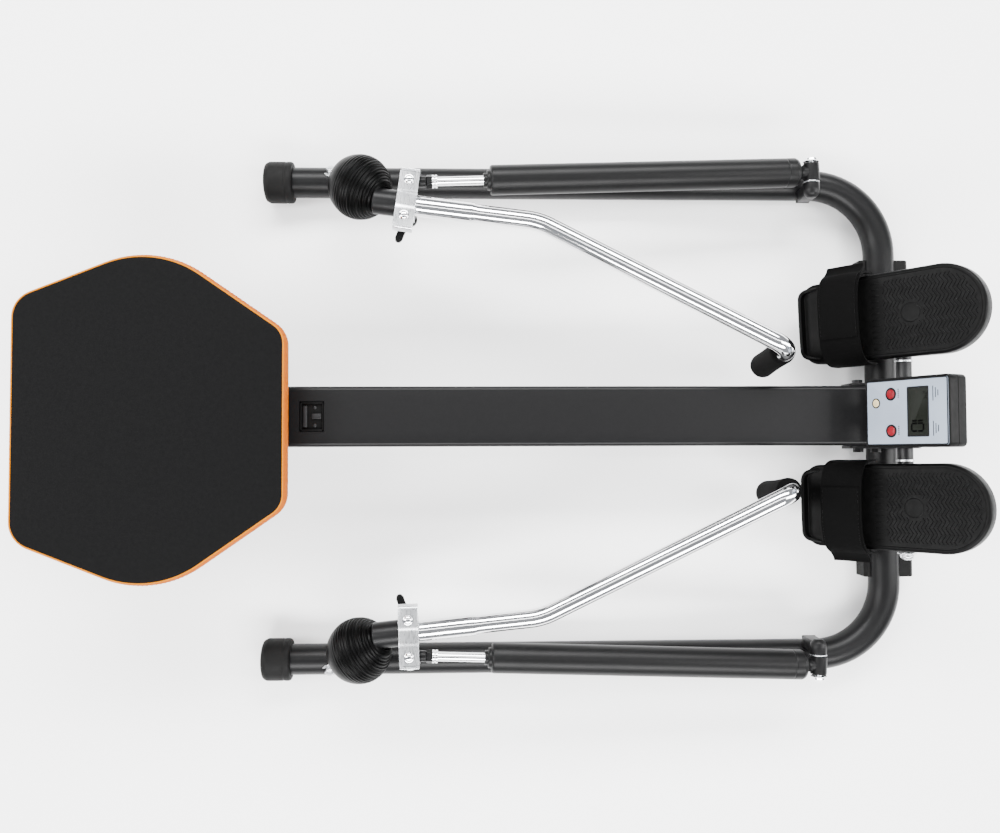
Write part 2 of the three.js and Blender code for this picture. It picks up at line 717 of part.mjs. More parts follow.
// ---------------------------------------------------------------- hydraulic cylinders
function makeFrontPost(side, name) {
  const pin = vec(FRONT_PIN.x, side * FRONT_PIN.y, FRONT_PIN.z);
  const y = (value) => side * value;
  const head = turned(
    [[0, -10], [7, -9], [10.5, -5], [11, 0], [11, 10.5], [0, 10.5]],
    vec(pin.x, y(POST_Y), pin.z),
    vec(pin.x, y(POST_Y + 1), pin.z),
    24,
  );
  const column = box([pin.x - 9, y(POST_Y - 8), TUBE_Z], [pin.x + 9, y(POST_Y + 8), pin.z]);
  const leg = bar(
    vec(pin.x - 40, y(LEG_Y), TUBE_Z),
    vec(pin.x + 40, y(LEG_Y), TUBE_Z),
    TUBE_R + GAP,
    24,
  );
  const bolt = bar(vec(pin.x, y(POST_Y + 8), pin.z), vec(pin.x, y(FRONT_PIN.y + 15), pin.z), 4, 16);
  const nut = turned(
    [[0, 14.2], [9, 14.2], [9, 15.6], [7.5, 16.5], [7.5, 19], [4, 22], [0, 22.5]],
    pin,
    pin.clone().add(vec(0, side, 0)),
    20,
  );
  const washer = bar(vec(pin.x, y(POST_Y + 10), pin.z), vec(pin.x, y(POST_Y + 11.8), pin.z), 11, 24);
  const post = cut(join(head, column), leg);
  add(root, `front_post_${name}`, join(post, washer, bolt, nut), blackPaint);
}

function makeCylinder(side, name, armGroup) {
  const pin = vec(FRONT_PIN.x, side * FRONT_PIN.y, FRONT_PIN.z);
  const eye = armPoint(side, EYE).applyMatrix4(armGroup.matrix);
  const length = pin.distanceTo(eye);
  const group = new THREE.Group();
  group.position.copy(pin);
  const towards = eye.clone().sub(pin).normalize();
  group.quaternion.setFromUnitVectors(vec(-1, 0, 0), towards);
  root.add(group);
  const at = (along) => vec(-along, 0, 0);

  // Bush in the barrel's eye, loose on the post's bolt.
  const bush = cut(
    bar(vec(0, -12.5, 0), vec(0, 12.5, 0), 7.5, 20),
    bar(vec(0, -20, 0), vec(0, 20, 0), 4.9, 20),
  );
  add(group, `cylinder_bush_${name}`, bush, rubber);

  const barrelEye = bar(vec(0, -12, 0), vec(0, 12, 0), 11, 24);
  const neck = bar(at(6), at(BARREL_START + 4), 9, 20);
  const shell = turned(
    [
      [0, BARREL_START],
      [BARREL_R - 5, BARREL_START],
      [BARREL_R - 1.5, BARREL_START + 1.5],
      [BARREL_R, BARREL_START + 5],
      [BARREL_R, BARREL_END - 1],
      [BARREL_R - 1, BARREL_END],
      [9, BARREL_END],
      [8, BARREL_END + 9],
      [ROD_R + GAP, BARREL_END + 9],
      [ROD_R + GAP, BARREL_END - 14],
      [BARREL_R - 4, BARREL_END - 14],
      [BARREL_R - 4, BARREL_START + 12],
      [0, BARREL_START + 12],
    ],
    vec(0, 0, 0),
    vec(-1, 0, 0),
    28,
  );
  const bushHole = bar(vec(0, -20, 0), vec(0, 20, 0), 7.5 + GAP, 20);
  add(group, `cylinder_barrel_${name}`, cut(join(barrelEye, neck, shell), bushHole), barrelPaint);

  const piston = BARREL_END - 140;
  const rod = turned(
    [
      [0, piston],
      [BARREL_R - 4.5, piston],
      [BARREL_R - 4.5, piston + 20],
      [ROD_R, piston + 20],
      [ROD_R, length - 34],
      [0, length - 34],
    ],
    vec(0, 0, 0),
    vec(-1, 0, 0),
    20,
  );
  const nut = bar(at(length - 35), at(length - 27), 9, 6);
  const shank = bar(at(length - 28), at(length - 8), 6.5, 16);
  const ring = bar(vec(-length, -EYE_HALF, 0), vec(-length, EYE_HALF, 0), EYE_R, 24);
  const ball = bar(vec(-length, -EYE_PIN_HALF, 0), vec(-length, EYE_PIN_HALF, 0), 4, 16);
  add(group, `cylinder_rod_${name}`, join(rod, nut, shank, ring, ball), chrome);
}

// ---------------------------------------------------------------- pedals
function makeAxle() {
  const { x, z, r, half } = AXLE;
  add(root, "pedal_axle", bar(vec(x, -half, z), vec(x, half, z), r, 20), zinc);
  for (const [side, name] of [
    [1, "left"],
    [-1, "right"],
  ]) {
    const from = vec(x, side * (half - 8), z);
    const nut = turned(
      [
        [r + GAP, 0],
        [15, 0],
        [15, 2],
        [11, 2],
        [11, 9],
        [7, 13],
        [0, 14.5],
        [0, 8 + GAP],
        [r + GAP, 8 + GAP],
        [r + GAP, 0],
      ],
      from,
      from.clone().add(vec(0, side, 0)),
      20,
    );
    add(root, `axle_nut_${name}`, nut, zinc);
  }
}

function makePedal(side, name) {
  const group = new THREE.Group();
  group.position.set(AXLE.x, side * PEDAL_Y, AXLE.z);
  group.rotation.y = -PEDAL_TILT;
  root.add(group);

  const { heel, toe, half, top, thick } = PEDAL;
  const outline = roundedShape([
    { x: heel, y: -half + 3, r: 22 },
    { x: toe, y: -half, r: half - 1 },
    { x: toe, y: half, r: half - 1 },
    { x: heel, y: half - 3, r: 22 },
  ]);
  const plate = slab(outline, top - thick, top, 8);
  const hollow = slab(
    roundedShape([
      { x: heel + 5, y: -half + 8, r: 18 },
      { x: toe - 5, y: -half + 5, r: half - 6 },
      { x: toe - 5, y: half - 5, r: half - 6 },
      { x: heel + 5, y: half - 8, r: 18 },
    ]),
    top - thick - 1,
    top - 5,
    5,
  );
  const cup = box([heel, -44, top - 4], [heel + 5, 44, top + CUP_RISE]);
  const lugs = [38, -44].map((y) =>
    join(
      box([-13, y, 0], [13, y + 6, top - 4]),
      bar(vec(0, y, 0), vec(0, y + 6, 0), 13, 20),
    ),
  );
  const bore = bar(vec(0, -70, 0), vec(0, 70, 0), AXLE.r + GAP, 20);
  const pedal = cut(join(cut(plate, hollow), cup, ...lugs), bore);
  add(group, `pedal_${name}`, pedal, plastic);

  // Foot strap: an arch over the plate, its ends beside the plate's edges.
  const span = half + 1.5;
  const arch = (reach, rise) => {
    const shape = new THREE.Shape();
    const start = top - 14;
    shape.moveTo(-reach, start);
    shape.bezierCurveTo(-reach, top + rise * 0.75, -reach * 0.75, top + rise, 0, top + rise);
    shape.bezierCurveTo(reach * 0.75, top + rise, reach, top + rise * 0.75, reach, start);
    return shape.getPoints(9);
  };
  const outer = arch(span + STRAP.thick, STRAP.rise);
  const inner = arch(span, STRAP.rise - STRAP.thick).reverse();
  const band = slab(new THREE.Shape([...outer, ...inner]), 0, 2 * STRAP.half)
    .rotateX(Math.PI / 2)
    .rotateZ(Math.PI / 2)
    .translate(STRAP.x - STRAP.half, 0, 0);
  add(group, `strap_${name}`, band, webbing);
}

// ---------------------------------------------------------------- counter
function makeConsole() {
  const { x, z, length, width, depth } = CONSOLE;
  const group = new THREE.Group();
  group.position.set(x, 0, z);
  group.rotation.y = -CONSOLE_TILT;
  root.add(group);
  const half = width / 2;
  const wall = 2.5;

  // Housing: an open box closed by the face in front and the battery cover behind.
  const outline = (inset, r) =>
    roundedShape([
      { x: inset, y: -half + inset, r },
      { x: length - inset, y: -half + inset, r },
      { x: length - inset, y: half - inset, r },
      { x: inset, y: half - inset, r },
    ]);
  const body = slab(outline(0, 6), -depth, 0, 4);
  const cavity = slab(outline(wall, 4), -depth + wall, 1, 4);
  const coverHole = box([30, -20, -depth - 1], [80, 20, -depth + wall + 1]);
  add(group, "console_housing", cut(body, cavity, coverHole), plastic);

  const face = slab(outline(wall + GAP, 4), -2, 0.6, 4);
  const lcdHole = box([65, -31, -3], [97, 31, 2]);
  const buttonHoles = [23, -23].map((y) => bar(vec(41, y, -3), vec(41, y, 3), 6.6, 20));
  const screwHole = bar(vec(18, 12.5, -3), vec(18, 12.5, 3), 5.4, 20);
  add(group, "console_face", cut(face, lcdHole, screwHole, ...buttonHoles), silverFace);
  add(group, "lcd_window", box([65.3, -30.7, -4], [96.7, 30.7, -0.4]), display);
  add(group, "sensor_window", bar(vec(18, 12.5, -4), vec(18, 12.5, 1.2), 5, 20), silverFace);
  for (const [y, name] of [
    [23, "left"],
    [-23, "right"],
  ]) {
    const button = join(
      bar(vec(41, y, -8), vec(41, y, 1.8), 6, 20),
      bar(vec(41, y, -8), vec(41, y, -6), 8, 20),
    );
    add(group, `button_${name}`, button, redButton);
  }
  const cover = box([30.4, -19.6, -depth - 1.2], [79.6, 19.6, -depth + 1.5]);
  add(group, "battery_cover", cover, plastic);
}

/** Bent steel stalk from the front bracket to the counter's back. */
function makeStalk() {
  const half = CONSOLE.width / 2;
  const behind = vec(-Math.sin(CONSOLE_TILT), 0, Math.cos(CONSOLE_TILT)).multiplyScalar(
    -(CONSOLE.depth + 1.5 + GAP),
  );
  const upFace = vec(Math.cos(CONSOLE_TILT), 0, Math.sin(CONSOLE_TILT));
  const at = (along, off) =>
    vec(CONSOLE.x, 0, CONSOLE.z)
      .addScaledVector(upFace, along)
      .add(behind)
      .addScaledVector(behind.clone().normalize(), off);
  const thick = 3.5;
  const ring = [at(82, 0), at(4, 0), vec(491, 0, 138), vec(495.5, 0, 138), at(6, thick), at(82, thick)];
  const outline = new THREE.Shape(ring.map(({ x, z }) => new THREE.Vector2(x, z)));
  const blade = sidePlate(outline, -16, 16, 2);
  const base = box([486, -half + 1, 136.4], [548, half - 1, 140]);
  add(root, "console_stalk", join(blade, base), blackPaint);
}

// ---------------------------------------------------------------- assembly
makeFloorFrame();
makeRearLeg();
makeRail();
makeFrontBracket();
makeSeat();
makeAxle();
makeConsole();
makeStalk();
for (const [side, name] of [
  [1, "left"],
  [-1, "right"],
]) {
  makeFeet(side, name);
  makeJointStud(side, name);
  makeKnuckle(side, name);
  const arm = makeArm(side, name);
  makeBoot(side, name, arm.matrix);
  makeFrontPost(side, name);
  makeCylinder(side, name, arm);
  makePedal(side, name);
}

export default root;
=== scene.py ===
import json
import math

import bmesh
import bpy
from mathutils import Matrix, Vector, noise


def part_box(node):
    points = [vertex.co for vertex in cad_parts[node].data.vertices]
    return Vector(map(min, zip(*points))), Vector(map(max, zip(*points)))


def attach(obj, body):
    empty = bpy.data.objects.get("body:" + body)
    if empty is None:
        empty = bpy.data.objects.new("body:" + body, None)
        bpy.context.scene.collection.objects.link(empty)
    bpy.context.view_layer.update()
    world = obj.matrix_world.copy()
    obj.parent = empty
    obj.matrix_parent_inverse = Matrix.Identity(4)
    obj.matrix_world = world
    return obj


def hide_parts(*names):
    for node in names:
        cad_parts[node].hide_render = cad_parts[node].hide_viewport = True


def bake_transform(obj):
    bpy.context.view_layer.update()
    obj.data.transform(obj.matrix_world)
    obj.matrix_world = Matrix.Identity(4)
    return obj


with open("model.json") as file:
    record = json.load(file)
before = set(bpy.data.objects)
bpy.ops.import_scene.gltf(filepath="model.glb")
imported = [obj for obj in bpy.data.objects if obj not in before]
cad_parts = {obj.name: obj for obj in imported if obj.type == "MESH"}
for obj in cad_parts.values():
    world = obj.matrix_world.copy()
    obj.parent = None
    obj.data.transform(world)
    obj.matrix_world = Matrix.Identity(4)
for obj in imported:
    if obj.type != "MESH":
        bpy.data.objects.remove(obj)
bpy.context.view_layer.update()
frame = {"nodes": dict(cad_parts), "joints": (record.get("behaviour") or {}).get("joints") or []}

nodes = frame["nodes"]
joints = {j["name"]: j for j in frame["joints"]}
MM = 0.001
SIDES = (("left", 1), ("right", -1))
X, Y, Z = Vector((1, 0, 0)), Vector((0, 1, 0)), Vector((0, 0, 1))


def mm(*numbers):
    """A point given in millimetres."""
    return Vector(numbers) * MM


def pivot(joint):
    return Vector(joints[joint]["pos_m"])


def along(joint):
    return Vector(joints[joint]["axis"]).normalized()


def centre(node):
    lo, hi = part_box(node)
    return (lo + hi) / 2


# ------------------------------------------------------------------ camera
# The camera looks almost straight down from about arm's length above a standing eye.
CAMERA_PLACE = Vector((-54, -49.6, 1438.9)) * MM
CAMERA_TURNS = (-0.19, -2.015, 2.134)  # degrees about Z, Y and X

cam = bpy.data.objects.new("camera", bpy.data.cameras.new("camera"))
cam.data.lens = 36
cam.data.sensor_width = 36
bpy.context.scene.collection.objects.link(cam)
turn_z, turn_y, turn_x = (math.radians(a) for a in CAMERA_TURNS)
cam.matrix_world = (
    Matrix.Translation(CAMERA_PLACE)
    @ Matrix.Rotation(turn_z, 4, "Z")
    @ Matrix.Rotation(turn_y, 4, "Y")
    @ Matrix.Rotation(turn_x, 4, "X")
)
bpy.context.scene.camera = cam


# ------------------------------------------------------------------ materials
def shader(name, color, rough, metal=0.0, coat=0.0, coat_rough=0.2, sheen=0.0, specular=0.5):
    """A Principled material with plain numbers; detail is added by the functions below."""
    m = bpy.data.materials.new(name)
    m.use_nodes = True
    p = m.node_tree.nodes["Principled BSDF"]
    p.inputs["Base Color"].default_value = (*color, 1)
    p.inputs["Roughness"].default_value = rough
    p.inputs["Metallic"].default_value = metal
    p.inputs["Coat Weight"].default_value = coat
    p.inputs["Coat Roughness"].default_value = coat_rough
    p.inputs["Sheen Weight"].default_value = sheen
    p.inputs["Specular IOR Level"].default_value = specular
    return m


def node(m, kind, **inputs):
    n = m.node_tree.nodes.new(kind)
    for key, value in inputs.items():
        name = key.replace("_", " ")
        if isinstance(value, bpy.types.NodeSocket):
            m.node_tree.links.new(value, n.inputs[name])
        else:
            n.inputs[name].default_value = value
    return n


def place(m, stretch=(1, 1, 1)):
    """Object coordinates, in metres, stretched where a grain runs one way."""
    coords = m.node_tree.nodes.new("ShaderNodeTexCoord")
    mapping = node(m, "ShaderNodeMapping", Vector=coords.outputs["Object"], Scale=stretch)
    return mapping.outputs["Vector"]


def grain(m, size_mm, detail=3.0, stretch=(1, 1, 1)):
    n = node(
        m,
        "ShaderNodeTexNoise",
        Vector=place(m, stretch),
        Scale=1000 / size_mm,
        Detail=detail,
        Roughness=0.55,
    )
    return n.outputs["Fac"]


def cells(m, size_mm):
    n = node(m, "ShaderNodeTexVoronoi", Vector=place(m), Scale=1000 / size_mm)
    n.feature = "SMOOTH_F1"
    return n.outputs["Distance"]


def ramp(m, value, stops):
    """Maps a value to colours or greys: stops are (position, colour)."""
    r = node(m, "ShaderNodeValToRGB", Fac=value)
    elements = r.color_ramp.elements
    while len(elements) < len(stops):
        elements.new(0.5)
    for element, (position, color) in zip(elements, stops):
        element.position = position
        element.color = (*color, 1) if isinstance(color, tuple) else (color,) * 3 + (1,)
    return r.outputs["Color"]


def tint(m, value, low, high, spread=(0.3, 0.7)):
    """Colour that drifts between two tones."""
    p = m.node_tree.nodes["Principled BSDF"]
    m.node_tree.links.new(ramp(m, value, [(spread[0], low), (spread[1], high)]), p.inputs["Base Color"])


def uneven_gloss(m, value, low, high, spread=(0.3, 0.7)):
    p = m.node_tree.nodes["Principled BSDF"]
    m.node_tree.links.new(ramp(m, value, [(spread[0], low), (spread[1], high)]), p.inputs["Roughness"])


def relief(m, heights, depth_mm):
    """Bump from one or more heights; the depth is in millimetres."""
    p = m.node_tree.nodes["Principled BSDF"]
    normal = None
    for height, depth in zip(heights, depth_mm):
        b = node(m, "ShaderNodeBump", Height=height, Distance=depth * MM)
        b.inputs["Strength"].default_value = 1
        if normal is not None:
            m.node_tree.links.new(normal, b.inputs["Normal"])
        normal = b.outputs["Normal"]
    m.node_tree.links.new(normal, p.inputs["Normal"])


def powder_coat():
    """Satin black powder coat with its fine orange peel."""
    m = shader("powder_coat", (0.0036, 0.0036, 0.0038), 0.36, specular=0.12)
    tint(m, grain(m, 3, 2), (0.0032, 0.0032, 0.0034), (0.004, 0.004, 0.0042))
    uneven_gloss(m, grain(m, 4, 3), 0.34, 0.39)
    relief(m, [grain(m, 1.6, 1), grain(m, 0.35, 1)], [0.018, 0.006])
    return m


def cylinder_paint():
    """Semi-matt black paint of the cylinders, drawn along their length."""
    m = shader("cylinder_paint", (0.0026, 0.0026, 0.0027), 0.38, specular=0.12)
    tint(m, grain(m, 4, 3), (0.0022, 0.0022, 0.0023), (0.003, 0.003, 0.0031))
    uneven_gloss(m, grain(m, 6, 4, (0.1, 1, 1)), 0.37, 0.43)
    relief(m, [grain(m, 0.8, 2)], [0.008])
    return m


def chrome():
    """Bright chrome with faint polishing marks and slightly dull patches."""
    m = shader("chrome", (0.9, 0.905, 0.915), 0.07, metal=1)
    tint(m, grain(m, 80, 2), (0.87, 0.875, 0.89), (0.93, 0.93, 0.935))
    uneven_gloss(m, grain(m, 5, 5, (0.15, 1, 1)), 0.045, 0.12)
    relief(m, [grain(m, 0.5, 2, (0.05, 1, 1))], [0.0006])
    return m


def zinc():
    """Bright zinc plate with a brushed grain and a faint bluish cast."""
    m = shader("zinc_plate", (0.62, 0.63, 0.65), 0.26, metal=1)
    tint(m, grain(m, 9, 4), (0.56, 0.57, 0.59), (0.68, 0.69, 0.7))
    uneven_gloss(m, grain(m, 1.2, 4, (1, 0.12, 1)), 0.24, 0.34)
    relief(m, [grain(m, 0.3, 2, (1, 0.08, 1))], [0.0012])
    return m


def rubber():
    m = shader("rubber", (0.0026, 0.0026, 0.0026), 0.62, specular=0.09)
    tint(m, grain(m, 8, 4), (0.0022, 0.0022, 0.0022), (0.0033, 0.0032, 0.0031))
    uneven_gloss(m, grain(m, 4, 4), 0.54, 0.68)
    relief(m, [grain(m, 0.9, 3), grain(m, 0.25, 1)], [0.03, 0.01])
    return m


def boot_rubber():
    """Moulded rubber of the joint's boot, a little shinier than the feet."""
    m = shader("boot_rubber", (0.0007, 0.0007, 0.0007), 0.34, specular=0.045)
    tint(m, grain(m, 8, 4), (0.0006, 0.0006, 0.0006), (0.0009, 0.0009, 0.0009))
    uneven_gloss(m, grain(m, 3, 4), 0.28, 0.42)
    relief(m, [grain(m, 0.6, 3)], [0.012])
    return m


def foam():
    """Closed-cell foam with open pores on its skin."""
    m = shader("grip_foam", (0.0012, 0.0012, 0.0012), 0.9, specular=0.05)
    tint(m, grain(m, 4, 5), (0.001, 0.001, 0.001), (0.0017, 0.0017, 0.0017))
    relief(m, [cells(m, 0.9), grain(m, 2.5, 4)], [0.09, 0.12])
    return m


def plastic(name="moulded_plastic", tone=0.0018, rough=0.44):
    """Black plastic with a fine spark-eroded texture."""
    m = shader(name, (tone, tone, tone * 1.04), rough, specular=0.07)
    tint(m, grain(m, 6, 3), (tone * 0.9,) * 3, (tone * 1.15,) * 3)
    uneven_gloss(m, grain(m, 7, 4), rough - 0.05, rough + 0.07)
    relief(m, [cells(m, 0.55), grain(m, 0.3, 2)], [0.014, 0.008])
    return m


def nylon():
    m = shader("nylon", (0.008, 0.008, 0.0085), 0.36, specular=0.2)
    tint(m, grain(m, 8, 3), (0.007, 0.007, 0.0075), (0.01, 0.01, 0.0105))
    relief(m, [grain(m, 0.7, 3, (1, 0.1, 1))], [0.006])
    return m


def vinyl(name, dark, light, rough):
    """Upholstery vinyl: pebbled leather grain with creases between the pebbles."""
    m = shader(name, light, rough, specular=0.05)
    pebbles = cells(m, 1.5)
    tint(m, grain(m, 5, 4), dark, light)
    uneven_gloss(m, pebbles, rough - 0.06, rough + 0.1, (0.1, 0.6))
    relief(m, [pebbles, grain(m, 0.45, 3)], [0.05, 0.02])
    return m


def webbing():
    """Plain-woven strap: warp and weft cross about every millimetre."""
    m = shader("webbing", (0.0009, 0.0009, 0.0009), 0.8, specular=0.04)
    coords = place(m)
    waves = []
    for direction in ("X", "Y"):
        w = node(m, "ShaderNodeTexWave", Vector=coords, Scale=300, Distortion=0.4)
        w.bands_direction = direction
        waves.append(w.outputs["Fac"])
    tint(m, waves[0], (0.0007, 0.0007, 0.0007), (0.0013, 0.0013, 0.0013))
    relief(m, [*waves, grain(m, 0.3, 3)], [0.06, 0.06, 0.03])
    return m


def printed_face():
    """Silver-blue printed front with a satin film."""
    m = shader("silver_print", (0.2, 0.235, 0.285), 0.38, coat=0.03, coat_rough=0.25, specular=0.2)
    tint(m, grain(m, 35, 2), (0.19, 0.222, 0.272), (0.21, 0.246, 0.298))
    relief(m, [grain(m, 0.5, 2)], [0.006])
    return m


def ink(name, tone, specular):
    m = shader(name, (tone, tone, tone * 1.1), 0.4, specular=specular)
    uneven_gloss(m, grain(m, 2, 3), 0.34, 0.5)
    return m


def lcd():
    m = shader("display", (0.0044, 0.0052, 0.0038), 0.24, coat=0.03, coat_rough=0.08, specular=0.08)
    tint(m, grain(m, 14, 2), (0.004, 0.0048, 0.0034), (0.0054, 0.0064, 0.0048))
    return m


def button_red():
    m = shader("button_red", (0.13, 0.0, 0.004), 0.36, coat=0.03, coat_rough=0.2, specular=0.2)
    tint(m, grain(m, 6, 3), (0.11, 0.0, 0.0035), (0.16, 0.0004, 0.006))
    return m


def cream():
    m = shader("cream_lens", (0.42, 0.34, 0.18), 0.3, coat=0.3, coat_rough=0.1)
    tint(m, grain(m, 4, 2), (0.38, 0.31, 0.16), (0.46, 0.38, 0.21))
    return m


def floor_paint():
    m = shader("floor", (0.86, 0.86, 0.86), 0.85)
    tint(m, grain(m, 400, 2), (0.85, 0.85, 0.85), (0.87, 0.87, 0.87))
    return m


POWDER = powder_coat()
PAINT = cylinder_paint()
CHROME = chrome()
ZINC = zinc()
RUBBER = rubber()
BOOT = boot_rubber()
FOAM = foam()
PLASTIC = plastic()
TREAD = plastic("tread_plastic", 0.0009, 0.42)
NYLON = nylon()
CHARCOAL = vinyl("charcoal_vinyl", (0.0014, 0.0014, 0.0015), (0.002, 0.002, 0.0021), 0.64)
ORANGE = vinyl("orange_vinyl", (0.29, 0.062, 0.0), (0.33, 0.074, 0.0), 0.6)
GOLD = vinyl("golden_piping", (0.29, 0.09, 0.0), (0.35, 0.11, 0.0), 0.55)
WEBBING = webbing()
SILVER = printed_face()
INK = ink("black_ink", 0.0035, 0.1)
DIGITS = ink("display_digits", 0.0003, 0.02)
LCD = lcd()
RED = button_red()
CREAM = cream()


# ------------------------------------------------------------------ mesh helpers
def mesh(name, points, faces, material, angle=38):
    data = bpy.data.meshes.new(name)
    data.from_pydata([tuple(p) for p in points], [], faces)
    data.validate()
    bm = bmesh.new()
    bm.from_mesh(data)
    bmesh.ops.recalc_face_normals(bm, faces=bm.faces)
    bm.to_mesh(data)
    bm.free()
    data.materials.append(material)
    data.polygons.foreach_set("use_smooth", [True] * len(data.polygons))
    data.set_sharp_from_angle(angle=math.radians(angle))
    o = bpy.data.objects.new(name, data)
    bpy.context.scene.collection.objects.link(o)
    return o


def skin(name, rings, material, caps=(True, True), loop=False, angle=38):
    """Quads between rings of points. A ring of one point is a pole."""
    points, starts = [], []
    for ring in rings:
        starts.append(len(points))
        points.extend(ring)
    faces = []
    neighbours = list(zip(range(len(rings)), range(1, len(rings))))
    if loop:
        neighbours.append((len(rings) - 1, 0))
    for i, k in neighbours:
        a, b, na, nb = starts[i], starts[k], len(rings[i]), len(rings[k])
        count = max(na, nb)
        for j in range(count):
            j2 = (j + 1) % count
            if na == 1:
                faces.append((a, b + j2, b + j))
            elif nb == 1:
                faces.append((a + j, a + j2, b))
            else:
                faces.append((a + j, a + j2, b + j2, b + j))
    if not loop:
        for cap, i in zip(caps, (0, len(rings) - 1)):
            if cap and len(rings[i]) > 2:
                faces.append(tuple(range(starts[i], starts[i] + len(rings[i]))))
    return mesh(name, points, faces, material, angle)


def sideways(direction):
    """Two unit vectors square to a direction."""
    helper = Z if abs(direction.z) < 0.9 else X
    u = direction.cross(helper).normalized()
    return u, direction.cross(u).normalized()


def circle(middle, u, v, radius, count):
    if radius < 1e-6:
        return [middle.copy()]
    return [
        middle + u * (radius * math.cos(a)) + v * (radius * math.sin(a))
        for a in (2 * math.pi * i / count for i in range(count))
    ]


def filleted(points, radius, steps=5):
    """Rounds the inner corners of a line of 2-D or 3-D points."""
    out = [points[0]]
    for before, here, after in zip(points, points[1:], points[2:]):
        back, on = Vector(before) - Vector(here), Vector(after) - Vector(here)
        reach = min(radius, back.length * 0.48, on.length * 0.48)
        if reach < 1e-7:
            out.append(here)
            continue
        enter = Vector(here) + back.normalized() * reach
        leave = Vector(here) + on.normalized() * reach
        for i in range(steps + 1):
            t = i / steps
            out.append(enter * (1 - t) ** 2 + Vector(here) * (2 * t * (1 - t)) + leave * t * t)
    out.append(points[-1])
    return out


def pairs(*values):
    """(radius, distance) or (across, up) pairs given in millimetres."""
    return [(a * MM, b * MM) for a, b in values]


def disc(r, low, high):
    return pairs((0, low), (r, low), (r, high), (0, high))


def tube_wall(inner, outer, low, high):
    return pairs((inner, low), (outer, low), (outer, high), (inner, high))


def lathe(name, profile, start, direction, material, edge=0.0, count=64, angle=38):
    """Turned piece: profile pairs of (radius, distance along); the edge's round is in millimetres."""
    if edge:
        profile = filleted([Vector(p) for p in profile], edge * MM)
    u, v = sideways(direction)
    rings = [circle(start + direction * p[1], u, v, p[0], count) for p in profile]
    return skin(name, rings, material, angle=angle)


def sweep(name, path, radius, material, count=48, caps=True, section=None):
    """Round tube along a path, or a bar with the given (across, up) section."""
    path = [Vector(p) for p in path]
    tangents = []
    for i in range(len(path)):
        a, b = path[max(i - 1, 0)], path[min(i + 1, len(path) - 1)]
        tangents.append((b - a).normalized())
    u, v = sideways(tangents[0])
    rings = []
    for i, (p, t) in enumerate(zip(path, tangents)):
        u = (u - t * u.dot(t)).normalized()
        v = t.cross(u).normalized()
        if section:
            rings.append([p + u * a + v * b for a, b in section])
        else:
            r = radius[i] if isinstance(radius, (list, tuple)) else radius
            rings.append(circle(p, u, v, r, count))
    return skin(name, rings, material, (caps, caps))


def bent(corners, radii, steps=14):
    """Straight runs joined by true arcs."""
    corners = [Vector(c) for c in corners]
    out = [corners[0]]
    for i, radius in enumerate(radii, 1):
        before = (corners[i - 1] - corners[i]).normalized()
        after = (corners[i + 1] - corners[i]).normalized()
        half = before.angle(after) / 2
        reach = radius / math.tan(half)
        enter, leave = corners[i] + before * reach, corners[i] + after * reach
        middle = corners[i] + (before + after).normalized() * (radius / math.sin(half))
        arm = enter - middle
        axis = arm.cross(leave - middle).normalized()
        turn = arm.angle(leave - middle)
        for k in range(steps + 1):
            out.append(middle + Matrix.Rotation(turn * k / steps, 3, axis) @ arm)
    out.append(corners[-1])
    return out


def spaced(path, step):
    """The same path with points no further apart than step."""
    out = [path[0]]
    for a, b in zip(path, path[1:]):
        count = max(1, round((b - a).length / step))
        out += [a.lerp(b, (i + 1) / count) for i in range(count)]
    return out


def rounded_outline(corners, steps=12):
    """2-D outline with true round corners; corners are (x, y, radius), in order."""
    out = []
    for i, (x, y, r) in enumerate(corners):
        at = Vector((x, y))
        back = (Vector(corners[i - 1][:2]) - at).normalized()
        on = (Vector(corners[(i + 1) % len(corners)][:2]) - at).normalized()
        half = back.angle(on) / 2
        enter, leave = at + back * (r / math.tan(half)), at + on * (r / math.tan(half))
        middle = at + (back + on).normalized() * (r / math.sin(half))
        a0 = math.atan2(*(enter - middle).yx)
        a1 = math.atan2(*(leave - middle).yx)
        turn = math.atan2(math.sin(a1 - a0), math.cos(a1 - a0))
        for k in range(steps + 1):
            a = a0 + turn * k / steps
            out.append(middle + Vector((math.cos(a), math.sin(a))) * r)
    return out


def rectangle(x0, x1, y0, y1, r):
    return [(x0, y0, r), (x1, y0, r), (x1, y1, r), (x0, y1, r)]


def evenly(outline, step):
    """Adds points to a closed 2-D outline so that none are further apart than step."""
    out = []
    for a, b in zip(outline, outline[1:] + outline[:1]):
        count = max(1, math.ceil((b - a).length / step))
        out += [a.lerp(b, i / count) for i in range(count)]
    return out


def inset(outline, distance):
    """A closed 2-D outline moved inwards."""
    area = sum(a.x * b.y - b.x * a.y for a, b in zip(outline, outline[1:] + outline[:1]))
    sign = 1 if area > 0 else -1
    out = []
    for i, p in enumerate(outline):
        t = (outline[(i + 1) % len(outline)] - outline[i - 1]).normalized()
        out.append(p + Vector((-t.y, t.x)) * (sign * distance))
    return out


def slab(name, outline, z0, z1, edge, material, steps=4):
    """Plate with rounded rims, lying between two heights."""
    rings = []
    for base, sign in ((z0, 1), (z1, -1)):
        part = []
        for i in range(steps + 1):
            a = math.pi / 2 * i / steps
            z = base + sign * edge * (1 - math.sin(a))
            part.append([Vector((*p, z)) for p in inset(outline, edge * (1 - math.cos(a)))])
        rings += part[::-1] if sign > 0 else part
    return skin(name, rings, material, angle=50)


